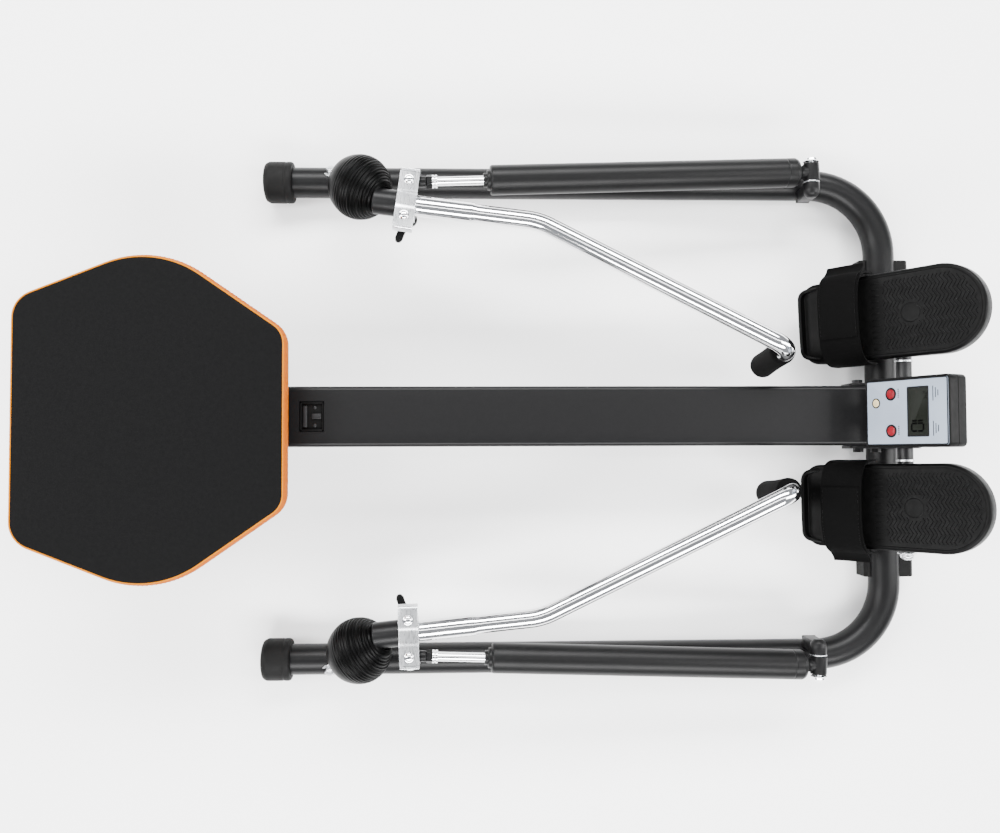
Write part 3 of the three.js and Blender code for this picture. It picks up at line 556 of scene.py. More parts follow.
def block(name, lo, hi, edge, material, segments=3):
    """Box with rounded edges; the edge's round is in millimetres."""
    bm = bmesh.new()
    bmesh.ops.create_cube(bm, size=1)
    size, middle = Vector(hi) - Vector(lo), (Vector(hi) + Vector(lo)) / 2
    for v in bm.verts:
        v.co = Vector(a * b for a, b in zip(v.co, size)) + middle
    bmesh.ops.bevel(
        bm,
        geom=bm.edges[:],
        offset=edge * MM,
        segments=segments,
        profile=0.5,
        affect="EDGES",
        clamp_overlap=True,
    )
    data = bpy.data.meshes.new(name)
    bm.to_mesh(data)
    bm.free()
    data.materials.append(material)
    data.polygons.foreach_set("use_smooth", [True] * len(data.polygons))
    data.set_sharp_from_angle(angle=math.radians(50))
    o = bpy.data.objects.new(name, data)
    bpy.context.scene.collection.objects.link(o)
    return o


def merge(name, *parts):
    """Several meshes as one piece; materials are kept."""
    main = parts[0]
    bm = bmesh.new()
    materials = []
    for o in parts:
        slots = []
        for m in o.data.materials:
            if m not in materials:
                materials.append(m)
            slots.append(materials.index(m))
        before = len(bm.faces)
        copy = o.data.copy()
        copy.transform(o.matrix_world)
        bm.from_mesh(copy)
        bm.faces.ensure_lookup_table()
        for face in bm.faces[before:]:
            face.material_index = slots[face.material_index]
        bpy.data.meshes.remove(copy)
    data = bpy.data.meshes.new(name)
    bm.to_mesh(data)
    bm.free()
    for m in materials:
        data.materials.append(m)
    for o in parts[1:]:
        bpy.data.objects.remove(o)
    old = main.data
    main.data = data
    bpy.data.meshes.remove(old)
    main.name = name
    return main


def put(o, matrix):
    o.data.transform(matrix)
    return o


def give(o, body, *replaced, slot=None):
    """Puts a finished piece on its body, in place of the CAD nodes named."""
    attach(o, body)
    if replaced:
        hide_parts(*replaced)
    return o


# ------------------------------------------------------------------ CAD nodes that stay
def keep_cad(names, material, edge_mm=0.8, angle=30):
    """Welds a CAD node's facets, rounds its edges and gives it a finished material."""
    for name in names:
        o = nodes[name]
        o.data.materials.clear()
        o.data.materials.append(material)
        o.data.polygons.foreach_set("use_smooth", [True] * len(o.data.polygons))
        weld = o.modifiers.new("weld", "WELD")
        weld.merge_threshold = 0.00002
        flat = o.modifiers.new("flat", "DECIMATE")
        flat.decimate_type = "DISSOLVE"
        flat.angle_limit = math.radians(1.5)
        bevel = o.modifiers.new("edges", "BEVEL")
        bevel.width = edge_mm * MM
        bevel.segments = 2
        bevel.limit_method = "ANGLE"
        bevel.angle_limit = math.radians(angle)
        bevel.harden_normals = True
        bevel.use_clamp_overlap = True


# ------------------------------------------------------------------ floor frame
FRAME_LO, FRAME_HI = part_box("frame_tube")
TUBE_R = (FRAME_HI.z - FRAME_LO.z) / 2
TUBE_Z = (FRAME_HI.z + FRAME_LO.z) / 2
LEG_Y = FRAME_HI.y - TUBE_R
CROSS_X = FRAME_HI.x - TUBE_R
LEG_END_X = FRAME_LO.x
BEND_R = 100 * MM


def floor_frame():
    corners = [
        (x, y, TUBE_Z)
        for x, y in ((LEG_END_X, LEG_Y), (CROSS_X, LEG_Y), (CROSS_X, -LEG_Y), (LEG_END_X, -LEG_Y))
    ]
    tube = sweep("floor_tube", bent(corners, [BEND_R, BEND_R], 24), TUBE_R, POWDER, 64)
    give(tube, "frame", "frame_tube", slot="black_paint")

    # Bolts through the legs behind the joints.
    for side, sign in SIDES:
        at = Vector((pivot(f"arm_{side}_lift").x, sign * LEG_Y, TUBE_Z)) + mm(-46, sign * 11, 15.5)
        up = Vector((0, sign * 0.62, 0.78)).normalized()
        washer = lathe("w", disc(10.5, 0, 1.6), at, up, ZINC, 0.4, 40)
        hexagon = pairs((0, 0), (6.8, 0), (6.8, 4.5), (5, 6.5), (0, 6.5))
        nut = lathe("n", hexagon, at + up * 1.6 * MM, up, ZINC, 0.8, 6, 20)
        give(merge(f"leg_bolt_{side}", washer, nut), "frame")


def cap(name, end, outward, radius, length, cad):
    """Rubber end cap: soft dome, waist line and a rolled lip; radius and length in millimetres."""
    profile = pairs(
        (0, 3), (radius - 9, 2.6), (radius - 3, 0.8), (radius, -4.5), (radius, 15 - length),
        (radius - 0.5, 14 - length), (radius - 0.5, 12.5 - length), (radius, 11.5 - length),
        (radius, 6 - length), (radius - 1.6, 3.2 - length), (TUBE_R / MM + 0.5, 3 - length),
    )
    give(lathe(name, profile, end, outward, RUBBER, 2.2, 72, 60), "frame", cad, slot="rubber")


def feet():
    for side, sign in SIDES:
        lo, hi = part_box(f"end_cap_{side}")
        size = (hi - lo) / MM
        end = Vector((LEG_END_X, sign * LEG_Y, TUBE_Z))
        cap(f"leg_cap_{side}", end, -X, size.z / 2, size.x, f"end_cap_{side}")
        lo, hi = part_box(f"rear_cap_{side}")
        size = (hi - lo) / MM
        outer = (hi.y if sign > 0 else lo.y) - sign * 3 * MM
        end = Vector(((lo.x + hi.x) / 2, outer, TUBE_Z))
        cap(f"foot_cap_{side}", end, Y * sign, size.z / 2, size.y, f"rear_cap_{side}")

    # Rear foot tube with its welded plates.
    lo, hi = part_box("rear_leg")
    at = Vector((centre("rear_cap_left").x, 0, TUBE_Z))
    parts = [
        sweep("t", [at + Y * lo.y, at - Y * lo.y], TUBE_R, POWDER, 64),
        block("p", (lo.x, -38 * MM, hi.z - 4.7 * MM), (hi.x, 38 * MM, hi.z), 1.2, POWDER),
    ]
    for y in (-30, 26):
        far = (at.x + 16 * MM, (y + 4) * MM, hi.z - 4 * MM)
        parts.append(block("v", at + mm(-16, y, 14), far, 1, POWDER))
    for y in (-30.5, -25.5, 25.5, 30.5):
        parts.append(sweep("b", [at + mm(-15, y, 15.6), at + mm(15, y, 15.6)], 2.2 * MM, POWDER, 12))
    give(merge("rear_foot_tube", *parts), "frame", "rear_leg", slot="black_paint")


# ------------------------------------------------------------------ rail
RAIL_LO, RAIL_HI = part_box("rail")
RAIL_TOP = RAIL_HI.z


def rail():
    """Rail with large rounded corners; its top is made in strips round the sensor's window."""
    half, bottom, wall = RAIL_HI.y, RAIL_LO.z, 2 * MM
    outline = rounded_outline(rectangle(-half, half, bottom, RAIL_TOP, 6 * MM), 8)
    section = [Vector((-p.x, p.y)) for p in outline]
    lo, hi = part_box("stroke_sensor")
    clear = 0.8 * MM
    y_half = hi.y + clear

    def on_top(*points):
        return all(abs(p.y - RAIL_TOP) < 1e-6 for p in points)

    # The ring of section points is cut by the window's two long sides.
    ring = []
    for p, q in zip(section, section[1:] + section[:1]):
        ring.append(p)
        if on_top(p, q) and abs(p.x - q.x) > y_half:
            step = 1 if q.x > p.x else -1
            ring += [Vector((-step * y_half, RAIL_TOP)), Vector((step * y_half, RAIL_TOP))]
    chamfer = 1 * MM
    stations = [RAIL_LO.x, RAIL_LO.x + chamfer, lo.x - clear, hi.x + clear, RAIL_HI.x - chamfer, RAIL_HI.x]
    count = len(ring)
    points = [Vector((x, p.x, p.y)) for x in stations for p in ring]
    inner = len(points)
    for x in stations:
        for p in ring:
            y = max(-half + wall, min(half - wall, p.x))
            z = max(bottom + wall, min(RAIL_TOP - wall, p.y))
            points.append(Vector((x, y, z)))

    def window(i, j):
        a, b = ring[j], ring[(j + 1) % count]
        return i == 2 and on_top(a, b) and max(abs(a.x), abs(b.x)) < y_half + 1e-6

    faces = []
    for i in range(len(stations) - 1):
        for j in range(count):
            k = (j + 1) % count
            quad = (i * count + j, i * count + k, (i + 1) * count + k, (i + 1) * count + j)
            if window(i, j):
                for a, b in zip(quad, quad[1:] + quad[:1]):
                    faces.append((a, b, b + inner, a + inner))
            else:
                faces.append(quad)
                faces.append(tuple(q + inner for q in quad[::-1]))
    last = (len(stations) - 1) * count
    for j in range(count):
        k = (j + 1) % count
        faces.append((j, k, k + inner, j + inner))
        faces.append((last + j, last + k, last + k + inner, last + j + inner))
    give(mesh("seat_rail", points, faces, POWDER, 35), "frame", "rail", slot="black_paint")

    # Sensor: sunk tray with its rim, raised nose, spring clip and two small screws.
    def bar(x0, x1, y0, y1, z0=-4.6, z1=-0.6, edge=0.5, material=PLASTIC):
        return block("s", (x0, y0, RAIL_TOP + z0 * MM), (x1, y1, RAIL_TOP + z1 * MM), edge, material)

    parts = [
        block("s", lo, (hi.x, hi.y, RAIL_TOP - 4.2 * MM), 1.2, PLASTIC),
        bar(lo.x, hi.x, lo.y, lo.y + 2.4 * MM),
        bar(lo.x, hi.x, hi.y - 2.4 * MM, hi.y),
        bar(lo.x, lo.x + 2 * MM, lo.y, hi.y),
        bar(hi.x - 2 * MM, hi.x, lo.y, hi.y),
        bar(lo.x + 4 * MM, lo.x + 9 * MM, -14 * MM, 14 * MM, -5, -1, 0.8, NYLON),
        bar(lo.x + 15 * MM, hi.x - 3.4 * MM, -3 * MM, 4 * MM, -5, -1.2, 0.8, NYLON),
    ]
    screw = pairs((0, 0), (2.2, 0), (2.2, 0.7), (1.4, 1.2), (0, 1.3))
    for y in (-12, 12):
        at = Vector((lo.x, 0, RAIL_TOP)) + mm(19, y, -4.3)
        parts.append(lathe("s", screw, at, Z, NYLON, 0.3, 24))
    give(merge("stroke_sensor_unit", *parts), "frame", "stroke_sensor", slot="black_plastic")

    keep_cad(["rail_rear_cap"], PLASTIC, 1.5)
    keep_cad(["rear_stop", "front_stop"], RUBBER, 2)


# ------------------------------------------------------------------ seat
SEAT_LO, SEAT_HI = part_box("seat_cushion")
SEAT_CORNERS = [(-163, 149, 36), (12, 219, 125), (171, 109, 30)]
SEAT_MIDDLE = Vector((SEAT_LO.x + 163 * MM, -6 * MM))  # a little to one side on its carriage
PANEL_DRAW = 2.2  # millimetres from the outline in to the seam


def seat_outline():
    corners = [(x * MM, y * MM, r * MM) for x, y, r in SEAT_CORNERS]
    mirrored = [(x, -y, r) for x, y, r in reversed(corners)]
    outline = evenly(rounded_outline((corners + mirrored)[::-1], 14), 6 * MM)
    return [p + SEAT_MIDDLE for p in outline]


def level(outline, z):
    return [Vector((p.x, p.y, z)) for p in outline]


def blown(o, pressure, cap_mm, hold, frames=16):
    """Inflates a closed fabric shell by cloth simulation, moving no point more than the cap."""
    rest = [v.co.copy() for v in o.data.vertices]
    group = o.vertex_groups.new(name="hold")
    for v in o.data.vertices:
        if hold(v.co):
            group.add([v.index], 1, "REPLACE")
    cloth = o.modifiers.new("cloth", "CLOTH")
    s = cloth.settings
    s.quality = 6
    s.mass = 0.4
    s.tension_stiffness = s.compression_stiffness = 25
    s.shear_stiffness = 12
    s.bending_stiffness = 4
    s.use_pressure = True
    s.uniform_pressure_force = pressure
    s.effector_weights.gravity = 0
    s.vertex_group_mass = "hold"
    s.pin_stiffness = 1
    cloth.point_cache.frame_end = frames
    scene = bpy.context.scene
    for f in range(1, frames + 1):
        scene.frame_set(f)
    dg = bpy.context.evaluated_depsgraph_get()
    made = o.evaluated_get(dg).to_mesh()
    moved = [v.co.copy() for v in made.vertices]
    o.evaluated_get(dg).to_mesh_clear()
    o.modifiers.remove(cloth)
    scene.frame_set(1)
    limit = cap_mm * MM
    for v, a, b in zip(o.data.vertices, rest, moved):
        shift = b - a
        if shift.length > limit:
            shift *= limit / shift.length
        v.co = a + shift
    o.vertex_groups.clear()


def cushion():
    """Seat pad: flat top panel, piping in the seam, and a side band that bulges below it."""
    outline = seat_outline()
    bottom, top = SEAT_LO.z, SEAT_HI.z
    seam_z = top - 2.2 * MM
    rings = [level(inset(outline, draw * MM), bottom + 0.3 * MM) for draw in (30, 14)]
    for i in range(5):  # lower edge, tucked under to the board
        a = math.pi / 2 * i / 4
        draw, rise = 1.5 + 7 * (1 - math.sin(a)), 0.5 + 7 * (1 - math.cos(a))
        rings.append(level(inset(outline, draw * MM), bottom + rise * MM))
    low, high = bottom + 7.5 * MM, seam_z - 0.6 * MM
    steps = 10
    for i in range(1, steps + 1):  # side band, full below and drawn in to the seam
        t = i / steps
        bulge = 1.7 * math.sin(math.pi * t * 0.8)
        draw = 1.5 * (1 - t) - bulge + PANEL_DRAW * max(0, (t - 0.62) / 0.38) ** 2
        rings.append(level(inset(outline, draw * MM), low + (high - low) * t))
    first_panel = len(rings) * len(outline)
    seam = inset(outline, (PANEL_DRAW + 0.6) * MM)
    steps = 24
    for i in range(steps + 1):  # the top panel, from the seam to the middle
        t = i / (steps + 1)
        crown = (top - seam_z) * (1 - (1 - t) ** 6)
        rings.append(level([SEAT_MIDDLE + (p - SEAT_MIDDLE) * (1 - t) for p in seam], seam_z + crown))
    rings.append(level([SEAT_MIDDLE], top))
    o = skin("seat_pad", rings, ORANGE, (True, False), angle=80)
    o.data.materials.append(CHARCOAL)
    for face in o.data.polygons:
        if min(face.vertices) >= first_panel and len(face.vertices) < 5:
            face.material_index = 1

    def hold(co):
        low = co.z < bottom + 4 * MM
        return low or (
            abs(co.z - seam_z) < 0.9 * MM and min((Vector(co.xy) - p).length for p in seam) < 2.4 * MM
        )

    blown(o, 2.2, 2.2, hold)
    for v in o.data.vertices:  # foam never lies perfectly flat
        if v.co.z > seam_z + 0.3 * MM:
            v.co.z += 0.5 * MM * noise.noise(Vector((v.co.x, v.co.y, 0)) * 14)
    give(o, "seat", "seat_cushion", slot="seat_vinyl")

    # Golden piping in the seam.
    line = level(evenly(inset(outline, (PANEL_DRAW + 0.2) * MM), 3 * MM), seam_z - 0.1 * MM)
    rings = []
    for i, p in enumerate(line):
        t = (line[(i + 1) % len(line)] - line[i - 1]).normalized()
        rings.append(circle(p, Z, t.cross(Z), 1.0 * MM, 10))
    give(skin("seat_piping", rings, GOLD, loop=True), "seat")


def stitches():
    """A row of short stitches round the side band, below the piping."""
    outline = evenly(inset(seat_outline(), -0.8 * MM), 1.2 * MM)
    z = SEAT_HI.z - 12.5 * MM
    parts, run = [], 4
    for i in range(0, len(outline) - run, run + 1):
        a, b = outline[i], outline[i + run - 1]
        mid = (a + b) / 2
        t = (b - a).normalized()
        out = Vector((t.y, -t.x))
        if out.dot(mid - SEAT_MIDDLE) < 0:
            out = -out
        path = level([a - out * 0.2 * MM, mid + out * 0.45 * MM, b - out * 0.2 * MM], z)
        parts.append(sweep("st", path, 0.35 * MM, GOLD, 6))
    give(merge("seat_stitches", *parts), "seat")


def seat_underside():
    lo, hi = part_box("seat_board")
    board = slab("seat_board_panel", inset(seat_outline(), 19 * MM), lo.z, hi.z, 1.8 * MM, PLASTIC)
    give(board, "seat", "seat_board", slot="black_plastic")
    keep_cad(["seat_carriage"], POWDER, 1.0)

    for name in ("rear", "front", "lower"):
        lo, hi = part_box(f"{name}_roller")
        at = (lo + hi) / 2
        axle_reach = 47
        parts = [sweep("a", [at - mm(0, axle_reach, 0), at + mm(0, axle_reach, 0)], 4.9 * MM, ZINC, 32)]
        if name == "lower":
            parts.append(lathe("d", tube_wall(5.5, 9, -34, 34), at, Y, NYLON, 1.2, 48))
            give(merge("lower_roller_set", *parts), "lower_wheel", "lower_roller", slot="nylon")
            continue
        r = (hi.z - lo.z) / 2 / MM
        wheel = pairs((6, 15), (r - 3, 15), (r, 16.5), (r, 31.5), (r - 3, 33), (6, 33))
        parts += [lathe("w", wheel, at, Y * sign, NYLON, 1.2, 56) for sign in (-1, 1)]
        give(merge(f"{name}_wheelset", *parts), f"{name}_wheels", f"{name}_roller", slot="nylon")

    # Hex nuts on the axle ends, outside the carriage's cheeks.
    nut = pairs((0, 49.5), (8.5, 49.5), (8.5, 54.5), (5.5, 56.5), (0, 56.5))
    for name in ("rear_roller", "front_roller", "lower_roller"):
        parts = [lathe("n", nut, centre(name), Y * sign, ZINC, 0.6, 6, 20) for sign in (-1, 1)]
        give(merge(f"{name}_nuts", *parts), "seat")


# ------------------------------------------------------------------ arms (mm in the arm's own frame)
CLAMP = {"x": 68, "inboard": 29.5, "z": 23}
SLOPE_IN, SLOPE_UP = 0.14, 0.1
THICK_R, THIN_R, SLEEVE_R = 13.6, 12, 17
STEP_X, BEND_X = 158, 238
HANDLE = {"x": 557, "inboard": 222, "z": 78}
HANDLE_BEND_R = 20
GRIP_R, GRIP_LENGTH = 17, 94
FORK = 12.5
CLAMP_TURN = {"left": 8, "right": 3}  # degrees, so that the plate lies square to the tube
GRIP_LEAN = {"left": 7, "right": 4}  # degrees from upright, to the same side of the machine
BOOT_R, BOOT_RIBS = 43.8, 15


def arm_matrix(side, sign):
    """The arm's own frame: forward, towards the rail (times -sign), up."""
    direction = along(f"handle_{side}_roll") * -sign
    yaw = math.atan2(direction.y, direction.x) - math.atan2(SLOPE_IN * -sign, 1)
    return Matrix.Translation(pivot(f"arm_{side}_lift")) @ Matrix.Rotation(yaw, 4, "Z")


def arm_point(sign, x, inboard=0, z=0):
    return mm(x, -sign * inboard, z)


def on_tube(sign, x):
    run = x - CLAMP["x"]
    return arm_point(sign, x, CLAMP["inboard"] + SLOPE_IN * run, CLAMP["z"] + SLOPE_UP * run)


def boot(side, sign):
    """Ball-shaped rubber boot with fine ribs round the arm's direction."""
    ball = pivot(f"arm_{side}_lift")
    pole = (arm_matrix(side, sign) @ on_tube(sign, 44) - ball).normalized()
    u, v = sideways(pole)
    ribs_from, ribs_to = math.radians(27), math.radians(112)
    steps = 132
    first = math.asin(SLEEVE_R / BOOT_R) - 0.02
    rings = []
    for i in range(steps + 1):
        a = first + (math.pi - first) * i / steps
        fade_in = min(1, max(0, (a - math.radians(29)) / 0.1))
        fade_out = min(1, max(0, (ribs_to - a) / 0.4))
        wave = math.cos((a - ribs_from) / (ribs_to - ribs_from) * BOOT_RIBS * 2 * math.pi)
        r = (BOOT_R - 0.9 + fade_in * fade_out * 0.75 * wave) * MM
        rings.append(circle(ball + pole * (r * math.cos(a)), u, v, r * math.sin(a), 96))
    lip = ball + pole * (BOOT_R * math.cos(first) + 1.2) * MM
    neck = [
        circle(lip - pole * 4 * MM, u, v, (SLEEVE_R - 2) * MM, 96),
        circle(lip, u, v, (SLEEVE_R - 0.5) * MM, 96),
    ]
    # The ball and its neck are made as two pieces, split at one ring of the same ribbed surface.
    seam = 9  # the ring where the neck's own piece ends
    shell = skin(f"boot_{side}_ball", rings[seam:], BOOT, (False, False), angle=60)
    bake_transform(shell)
    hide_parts(f"boot_{side}")
    collar = skin(f"boot_{side}_neck", neck + rings[: seam + 1], BOOT, (False, False), angle=60)
    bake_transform(collar)


def joint_inside(side, sign):
    keep_cad([f"joint_stud_{side}"], POWDER, 0.8)
    keep_cad([f"knuckle_{side}"], ZINC, 0.6)
    keep_cad([f"arm_root_{side}"], POWDER, 0.7)
    ball = pivot(f"arm_{side}_lift")
    leg = Vector((ball.x, sign * LEG_Y, TUBE_Z))
    up = (ball - leg).normalized()
    # Smooth post and welded foot round the CAD post, and the boot's lower collar.
    post = sweep("p", [leg + up * (TUBE_R + 0.2 * MM), ball - up * 20 * MM], 10.3 * MM, POWDER, 40)
    foot = pairs((10.3, 6), (12.5, 5.2), (14.5, 3.5), (17.2, 1.2), (17.2, -1))
    foot = lathe("f", foot, leg + up * (TUBE_R + 0.3 * MM), up, POWDER, 0.8, 48)
    collar = pairs((17.5, -3), (19.5, -2), (19.5, 3), (16.5, 5))
    collar = lathe("c", collar, ball - up * 42 * MM, up, BOOT, 1, 56)
    give(merge(f"joint_post_{side}", post, foot, collar), "frame")


def sleeve(side, sign):
    """Smooth socket over the CAD root, from the boot's neck to the clamp."""
    a, b = on_tube(sign, 20), on_tube(sign, CLAMP["x"] - 12)
    length = (b - a).length / MM
    r = SLEEVE_R
    profile = pairs(
        (r - 3, 0), (r + 0.4, 2), (r + 0.4, length - 1.2), (r - 1, length + 0.3),
        (THICK_R + 0.4, length + 0.3),
    )
    o = lathe(f"arm_sleeve_{side}", profile, a, (b - a).normalized(), POWDER, 1, 56)
    give(put(o, arm_matrix(side, sign)), f"arm_{side[0]}")


def bolt_head(at, radius):
    """Dome-headed bolt with a washer rim."""
    profile = [(0, 0), (radius + 1.2, 0), (radius + 1.2, 0.9), (radius + 0.2, 1)]
    steps = 8
    for i in range(steps + 1):
        a = math.pi / 2 * i / steps
        profile.append((radius * math.cos(a), 1.2 + 2.6 * math.sin(a)))
    return lathe("bolt", pairs(*profile), at, Z, CHROME, count=48, angle=40)


def clamp(side, sign):
    """Folded bright plate over the cylinder's eye and the tube, with its bolts, cheeks and jaw."""
    x0, x1 = CLAMP["x"] - 13, CLAMP["x"] + 13
    top = CLAMP["z"] + 14.1
    # Section across the arm: outer flat, shallow fold, inner flat and a lip at the inner end.
    spine = [(-11, 1.9), (13.5, 1.9), (17.5, 1.1), (34, 1.1), (38, 1.9), (63.6, 1.9), (65, -9)]
    spine = filleted([Vector((inboard, top + rise)) for inboard, rise in spine], 1.8, 4)
    thick = 1.6
    upper, lower = [], []
    for i, p in enumerate(spine):
        a, b = spine[max(i - 1, 0)], spine[min(i + 1, len(spine) - 1)]
        t = (b - a).normalized()
        n = Vector((-t.y, t.x))
        upper.append(p + n * thick)
        lower.append(p - n * thick)
    loop = upper + lower[::-1]
    rings = []
    for x, draw in ((x0, 0.7), (x0 + 0.25, 0.2), (x0 + 0.8, 0), (x1 - 0.8, 0), (x1 - 0.25, 0.2), (x1, 0.7)):
        rings.append([arm_point(sign, x, p.x, p.y) for p in inset(loop, draw)])
    plate = skin("plate", rings, ZINC, angle=30)

    def bar(near, far, low, high, edge=0.7):
        a, b = sorted((-sign * near, -sign * far))
        return block("c", mm(x0 + 0.5, a, low), mm(x1 - 0.5, b, high), edge, ZINC)

    bolts = [
        bolt_head(arm_point(sign, CLAMP["x"], inboard, top + 3.2), 5.4) for inboard in (0, 47.5)
    ]
    head = pairs((0, 0), (7, 0), (7, 3.4), (5, 4.4), (0, 4.4))
    pin_at = arm_point(sign, CLAMP["x"], -FORK - 3.6, 18)
    parts = [
        plate,
        bar(-FORK - 3.6, -FORK, 5, top + 0.6),
        bar(FORK, FORK + 3.6, 5, top + 0.6),
        bar(16.4, 49, CLAMP["z"] - 16.8, CLAMP["z"] - THICK_R - 0.4, 1),
        bar(43.6, 49, CLAMP["z"] - 16, top),
        *bolts,
        lathe("pin", head, pin_at, Y * sign, ZINC, 0.6, 6, 20),
    ]
    middle = mm(CLAMP["x"], 0, 0)
    turn = Matrix.Rotation(math.radians(-sign * CLAMP_TURN[side]), 4, "Z")
    square = Matrix.Translation(middle) @ turn @ Matrix.Translation(-middle)
    o = put(merge(f"clamp_{side}", *parts), arm_matrix(side, sign) @ square)
    give(o, f"arm_{side[0]}", f"arm_clamp_{side}", slot="zinc")


def cam_lever(side, sign):
    at = mm(CLAMP["x"], -sign * 44, CLAMP["z"] - 17.3)
    tip = at + mm(-16, -sign * 27, -4)
    mid = at.lerp(tip, 0.55) + mm(-2.5, 0, -1)
    half = [(-5, -2.2), (-3.5, -3.4), (3.5, -3.4), (5, -2.2)]
    section = pairs(*half, *((-a, -b) for a, b in half))
    knob = pairs((0, -3.6), (3.4, -3), (4.6, 0), (3.4, 3), (0, 3.6))
    parts = [
        lathe("h", disc(9, 0, -9), at, Z, PLASTIC, 1.5, 40),
        sweep("b", filleted([at - Z * 4.5 * MM, mid, tip], 12 * MM, 8), 0, PLASTIC, section=section),
        lathe("k", knob, tip, Z, PLASTIC, 1, 32, 60),
        lathe("s", disc(4, -9, -11.5), at, Z, ZINC, 0.6, 24),
    ]
    o = put(merge(f"cam_lever_{side}", *parts), arm_matrix(side, sign))
    give(o, f"lever_{side[0]}", f"clamp_lever_{side}", slot="black_plastic")


def grip_direction(side):
    lean = math.radians(GRIP_LEAN[side])
    return Vector((0, -math.sin(lean), -math.cos(lean)))


def arm_tube(side, sign):
    """Chrome tube: thick stretch, rolled step, long bend, and the turn into the grip."""
    turn = arm_point(sign, **HANDLE)
    grip_end = turn + grip_direction(side) * (HANDLE_BEND_R + 4 + GRIP_LENGTH) * MM
    start, step, bend = (on_tube(sign, x) for x in (CLAMP["x"] - 26, STEP_X, BEND_X))
    path = spaced(bent([start, bend, turn, grip_end], [90 * MM, HANDLE_BEND_R * MM], 18), 12 * MM)
    thin_from = (step - start).length
    thick_to = thin_from - 9 * MM
    fine = [start.lerp(step, (thick_to + (thin_from - thick_to) * t / 4) / thin_from) for t in range(5)]
    before = [p for p in path if (p - start).length < thick_to - 2 * MM]
    after = [p for p in path if (p - start).length > thin_from + 2 * MM]
    path = before + fine + after
    radii = []
    for p in path:
        t = min(1, max(0, ((p - start).length - thick_to) / (thin_from - thick_to)))
        t = t * t * (3 - 2 * t)
        radii.append((THICK_R + (THIN_R - THICK_R) * t) * MM)
    o = put(sweep(f"arm_bar_{side}", path, radii, CHROME, 64), arm_matrix(side, sign))
    give(o, f"handle_{side[0]}", f"arm_tube_{side}", slot="chrome")


def grip(side, sign):
    """Foam grip with a soft flange, a barely waisted middle and a rounded end."""
    top = arm_point(sign, **HANDLE) - Z * (HANDLE_BEND_R + 6) * MM
    r = GRIP_R
    end = GRIP_LENGTH + 9
    profile = [(THIN_R - 1, 0.3), (r - 3, 0), (r - 0.6, 2.2), (r, 6)]
    steps = 12
    for i in range(steps + 1):
        t = i / steps
        profile.append((r - 0.7 * math.sin(math.pi * t), 9 + (end - 19) * t))
    profile += [(r, end - 9), (r - 0.4, end - 6), (r - 3.2, end - 1.8), (r - 8, end - 0.2), (0, end)]
    o = lathe(f"foam_grip_{side}", pairs(*profile), top, grip_direction(side), FOAM, 0.8, 72, 70)
    give(put(o, arm_matrix(side, sign)), f"handle_{side[0]}", f"grip_{side}", slot="foam")


# ------------------------------------------------------------------ cylinders (mm from the front pin)
BARREL_R, BARREL_START, BARREL_END, ROD_R = 20, 20, 447, 6


def cylinder(side, sign):
    pin = pivot(f"cylinder_{side}_yaw")
    d = along(f"cylinder_{side}_stroke")
    cross = along(f"cylinder_{side}_tilt")
    eye = arm_matrix(side, sign) @ arm_point(sign, 68, -2.5, 18)
    length = (eye - pin).length / MM
    r, start, end = BARREL_R, BARREL_START, BARREL_END
    profile = pairs(
        (0, start - 1), (r - 6, start - 0.6), (r - 2, start + 1), (r, start + 5), (r, start + 16),
        (r - 0.35, start + 16.6), (r - 0.35, start + 18), (r, start + 18.6), (r, end - 3),
        (r - 1, end - 0.6), (r - 4, end), (r - 6.5, end), (r - 6.5, end + 3.6), (r - 8, end + 4.4),
        (r - 10.5, end + 4.4), (r - 10.5, end + 8.2), (r - 11.4, end + 9), (ROD_R + 0.3, end + 9),
        (ROD_R + 0.3, end + 2),
    )
    parts = [
        lathe("shell", profile, pin, d, PAINT, 0.7, 72, 35),
        lathe("neck", pairs((9, 6), (9, 15), (13, start)), pin, d, PAINT, 3, 40),
        lathe("eye", tube_wall(8, 11.2, -12, 12), pin, cross, PAINT, 1.2, 48),
    ]
    body = merge(f"cylinder_body_{side}", *parts)
    give(body, f"barrel_{side[0]}", f"cylinder_barrel_{side}", slot="barrel_paint")

    bush = lathe(f"front_bush_{side}", tube_wall(4.7, 7.5, -12.5, 12.5), pin, cross, RUBBER, 0.8, 40)
    give(bush, f"bush_{side[0]}", f"cylinder_bush_{side}", slot="rubber")

    def turned(name, material, edge, count, *profile, angle=38):
        """A piece on the rod, its distances counted back from the rear pin."""
        profile = pairs(*((r, length - x) for r, x in profile))
        return lathe(name, profile, pin, d, material, edge, count, angle)

    rod = pairs((0, 300), (15.5, 300), (15.5, 320), (ROD_R, 320), (ROD_R, length - 24), (0, length - 24))
    nut = [
        (ROD_R, 36), (8.6, 36), (8.6, 33.6), (7.6, 33.1), (7.6, 32.3), (8.6, 31.8), (8.6, 29), (ROD_R, 29),
    ]
    rear = pin + d * length * MM
    parts = [
        lathe("rod", rod, pin, d, CHROME, 0.8, 48),
        turned("n", CHROME, 0.5, 48, *nut),
        turned("h", PAINT, 0.7, 6, (ROD_R, 29), (9.2, 29), (9.2, 22), (5, 21), angle=20),
        turned("s", PAINT, 1, 36, (6.4, 22), (7.4, 20), (7.4, 14), (6.4, 9)),
        lathe("e", tube_wall(3.8, 11.8, -6, 6), rear, cross, PAINT, 1.4, 48),
        lathe("b", disc(4, -8, 8), rear, cross, ZINC, 0.8, 32),
    ]
    give(merge(f"piston_rod_{side}", *parts), f"rod_{side[0]}", f"cylinder_rod_{side}", slot="chrome")


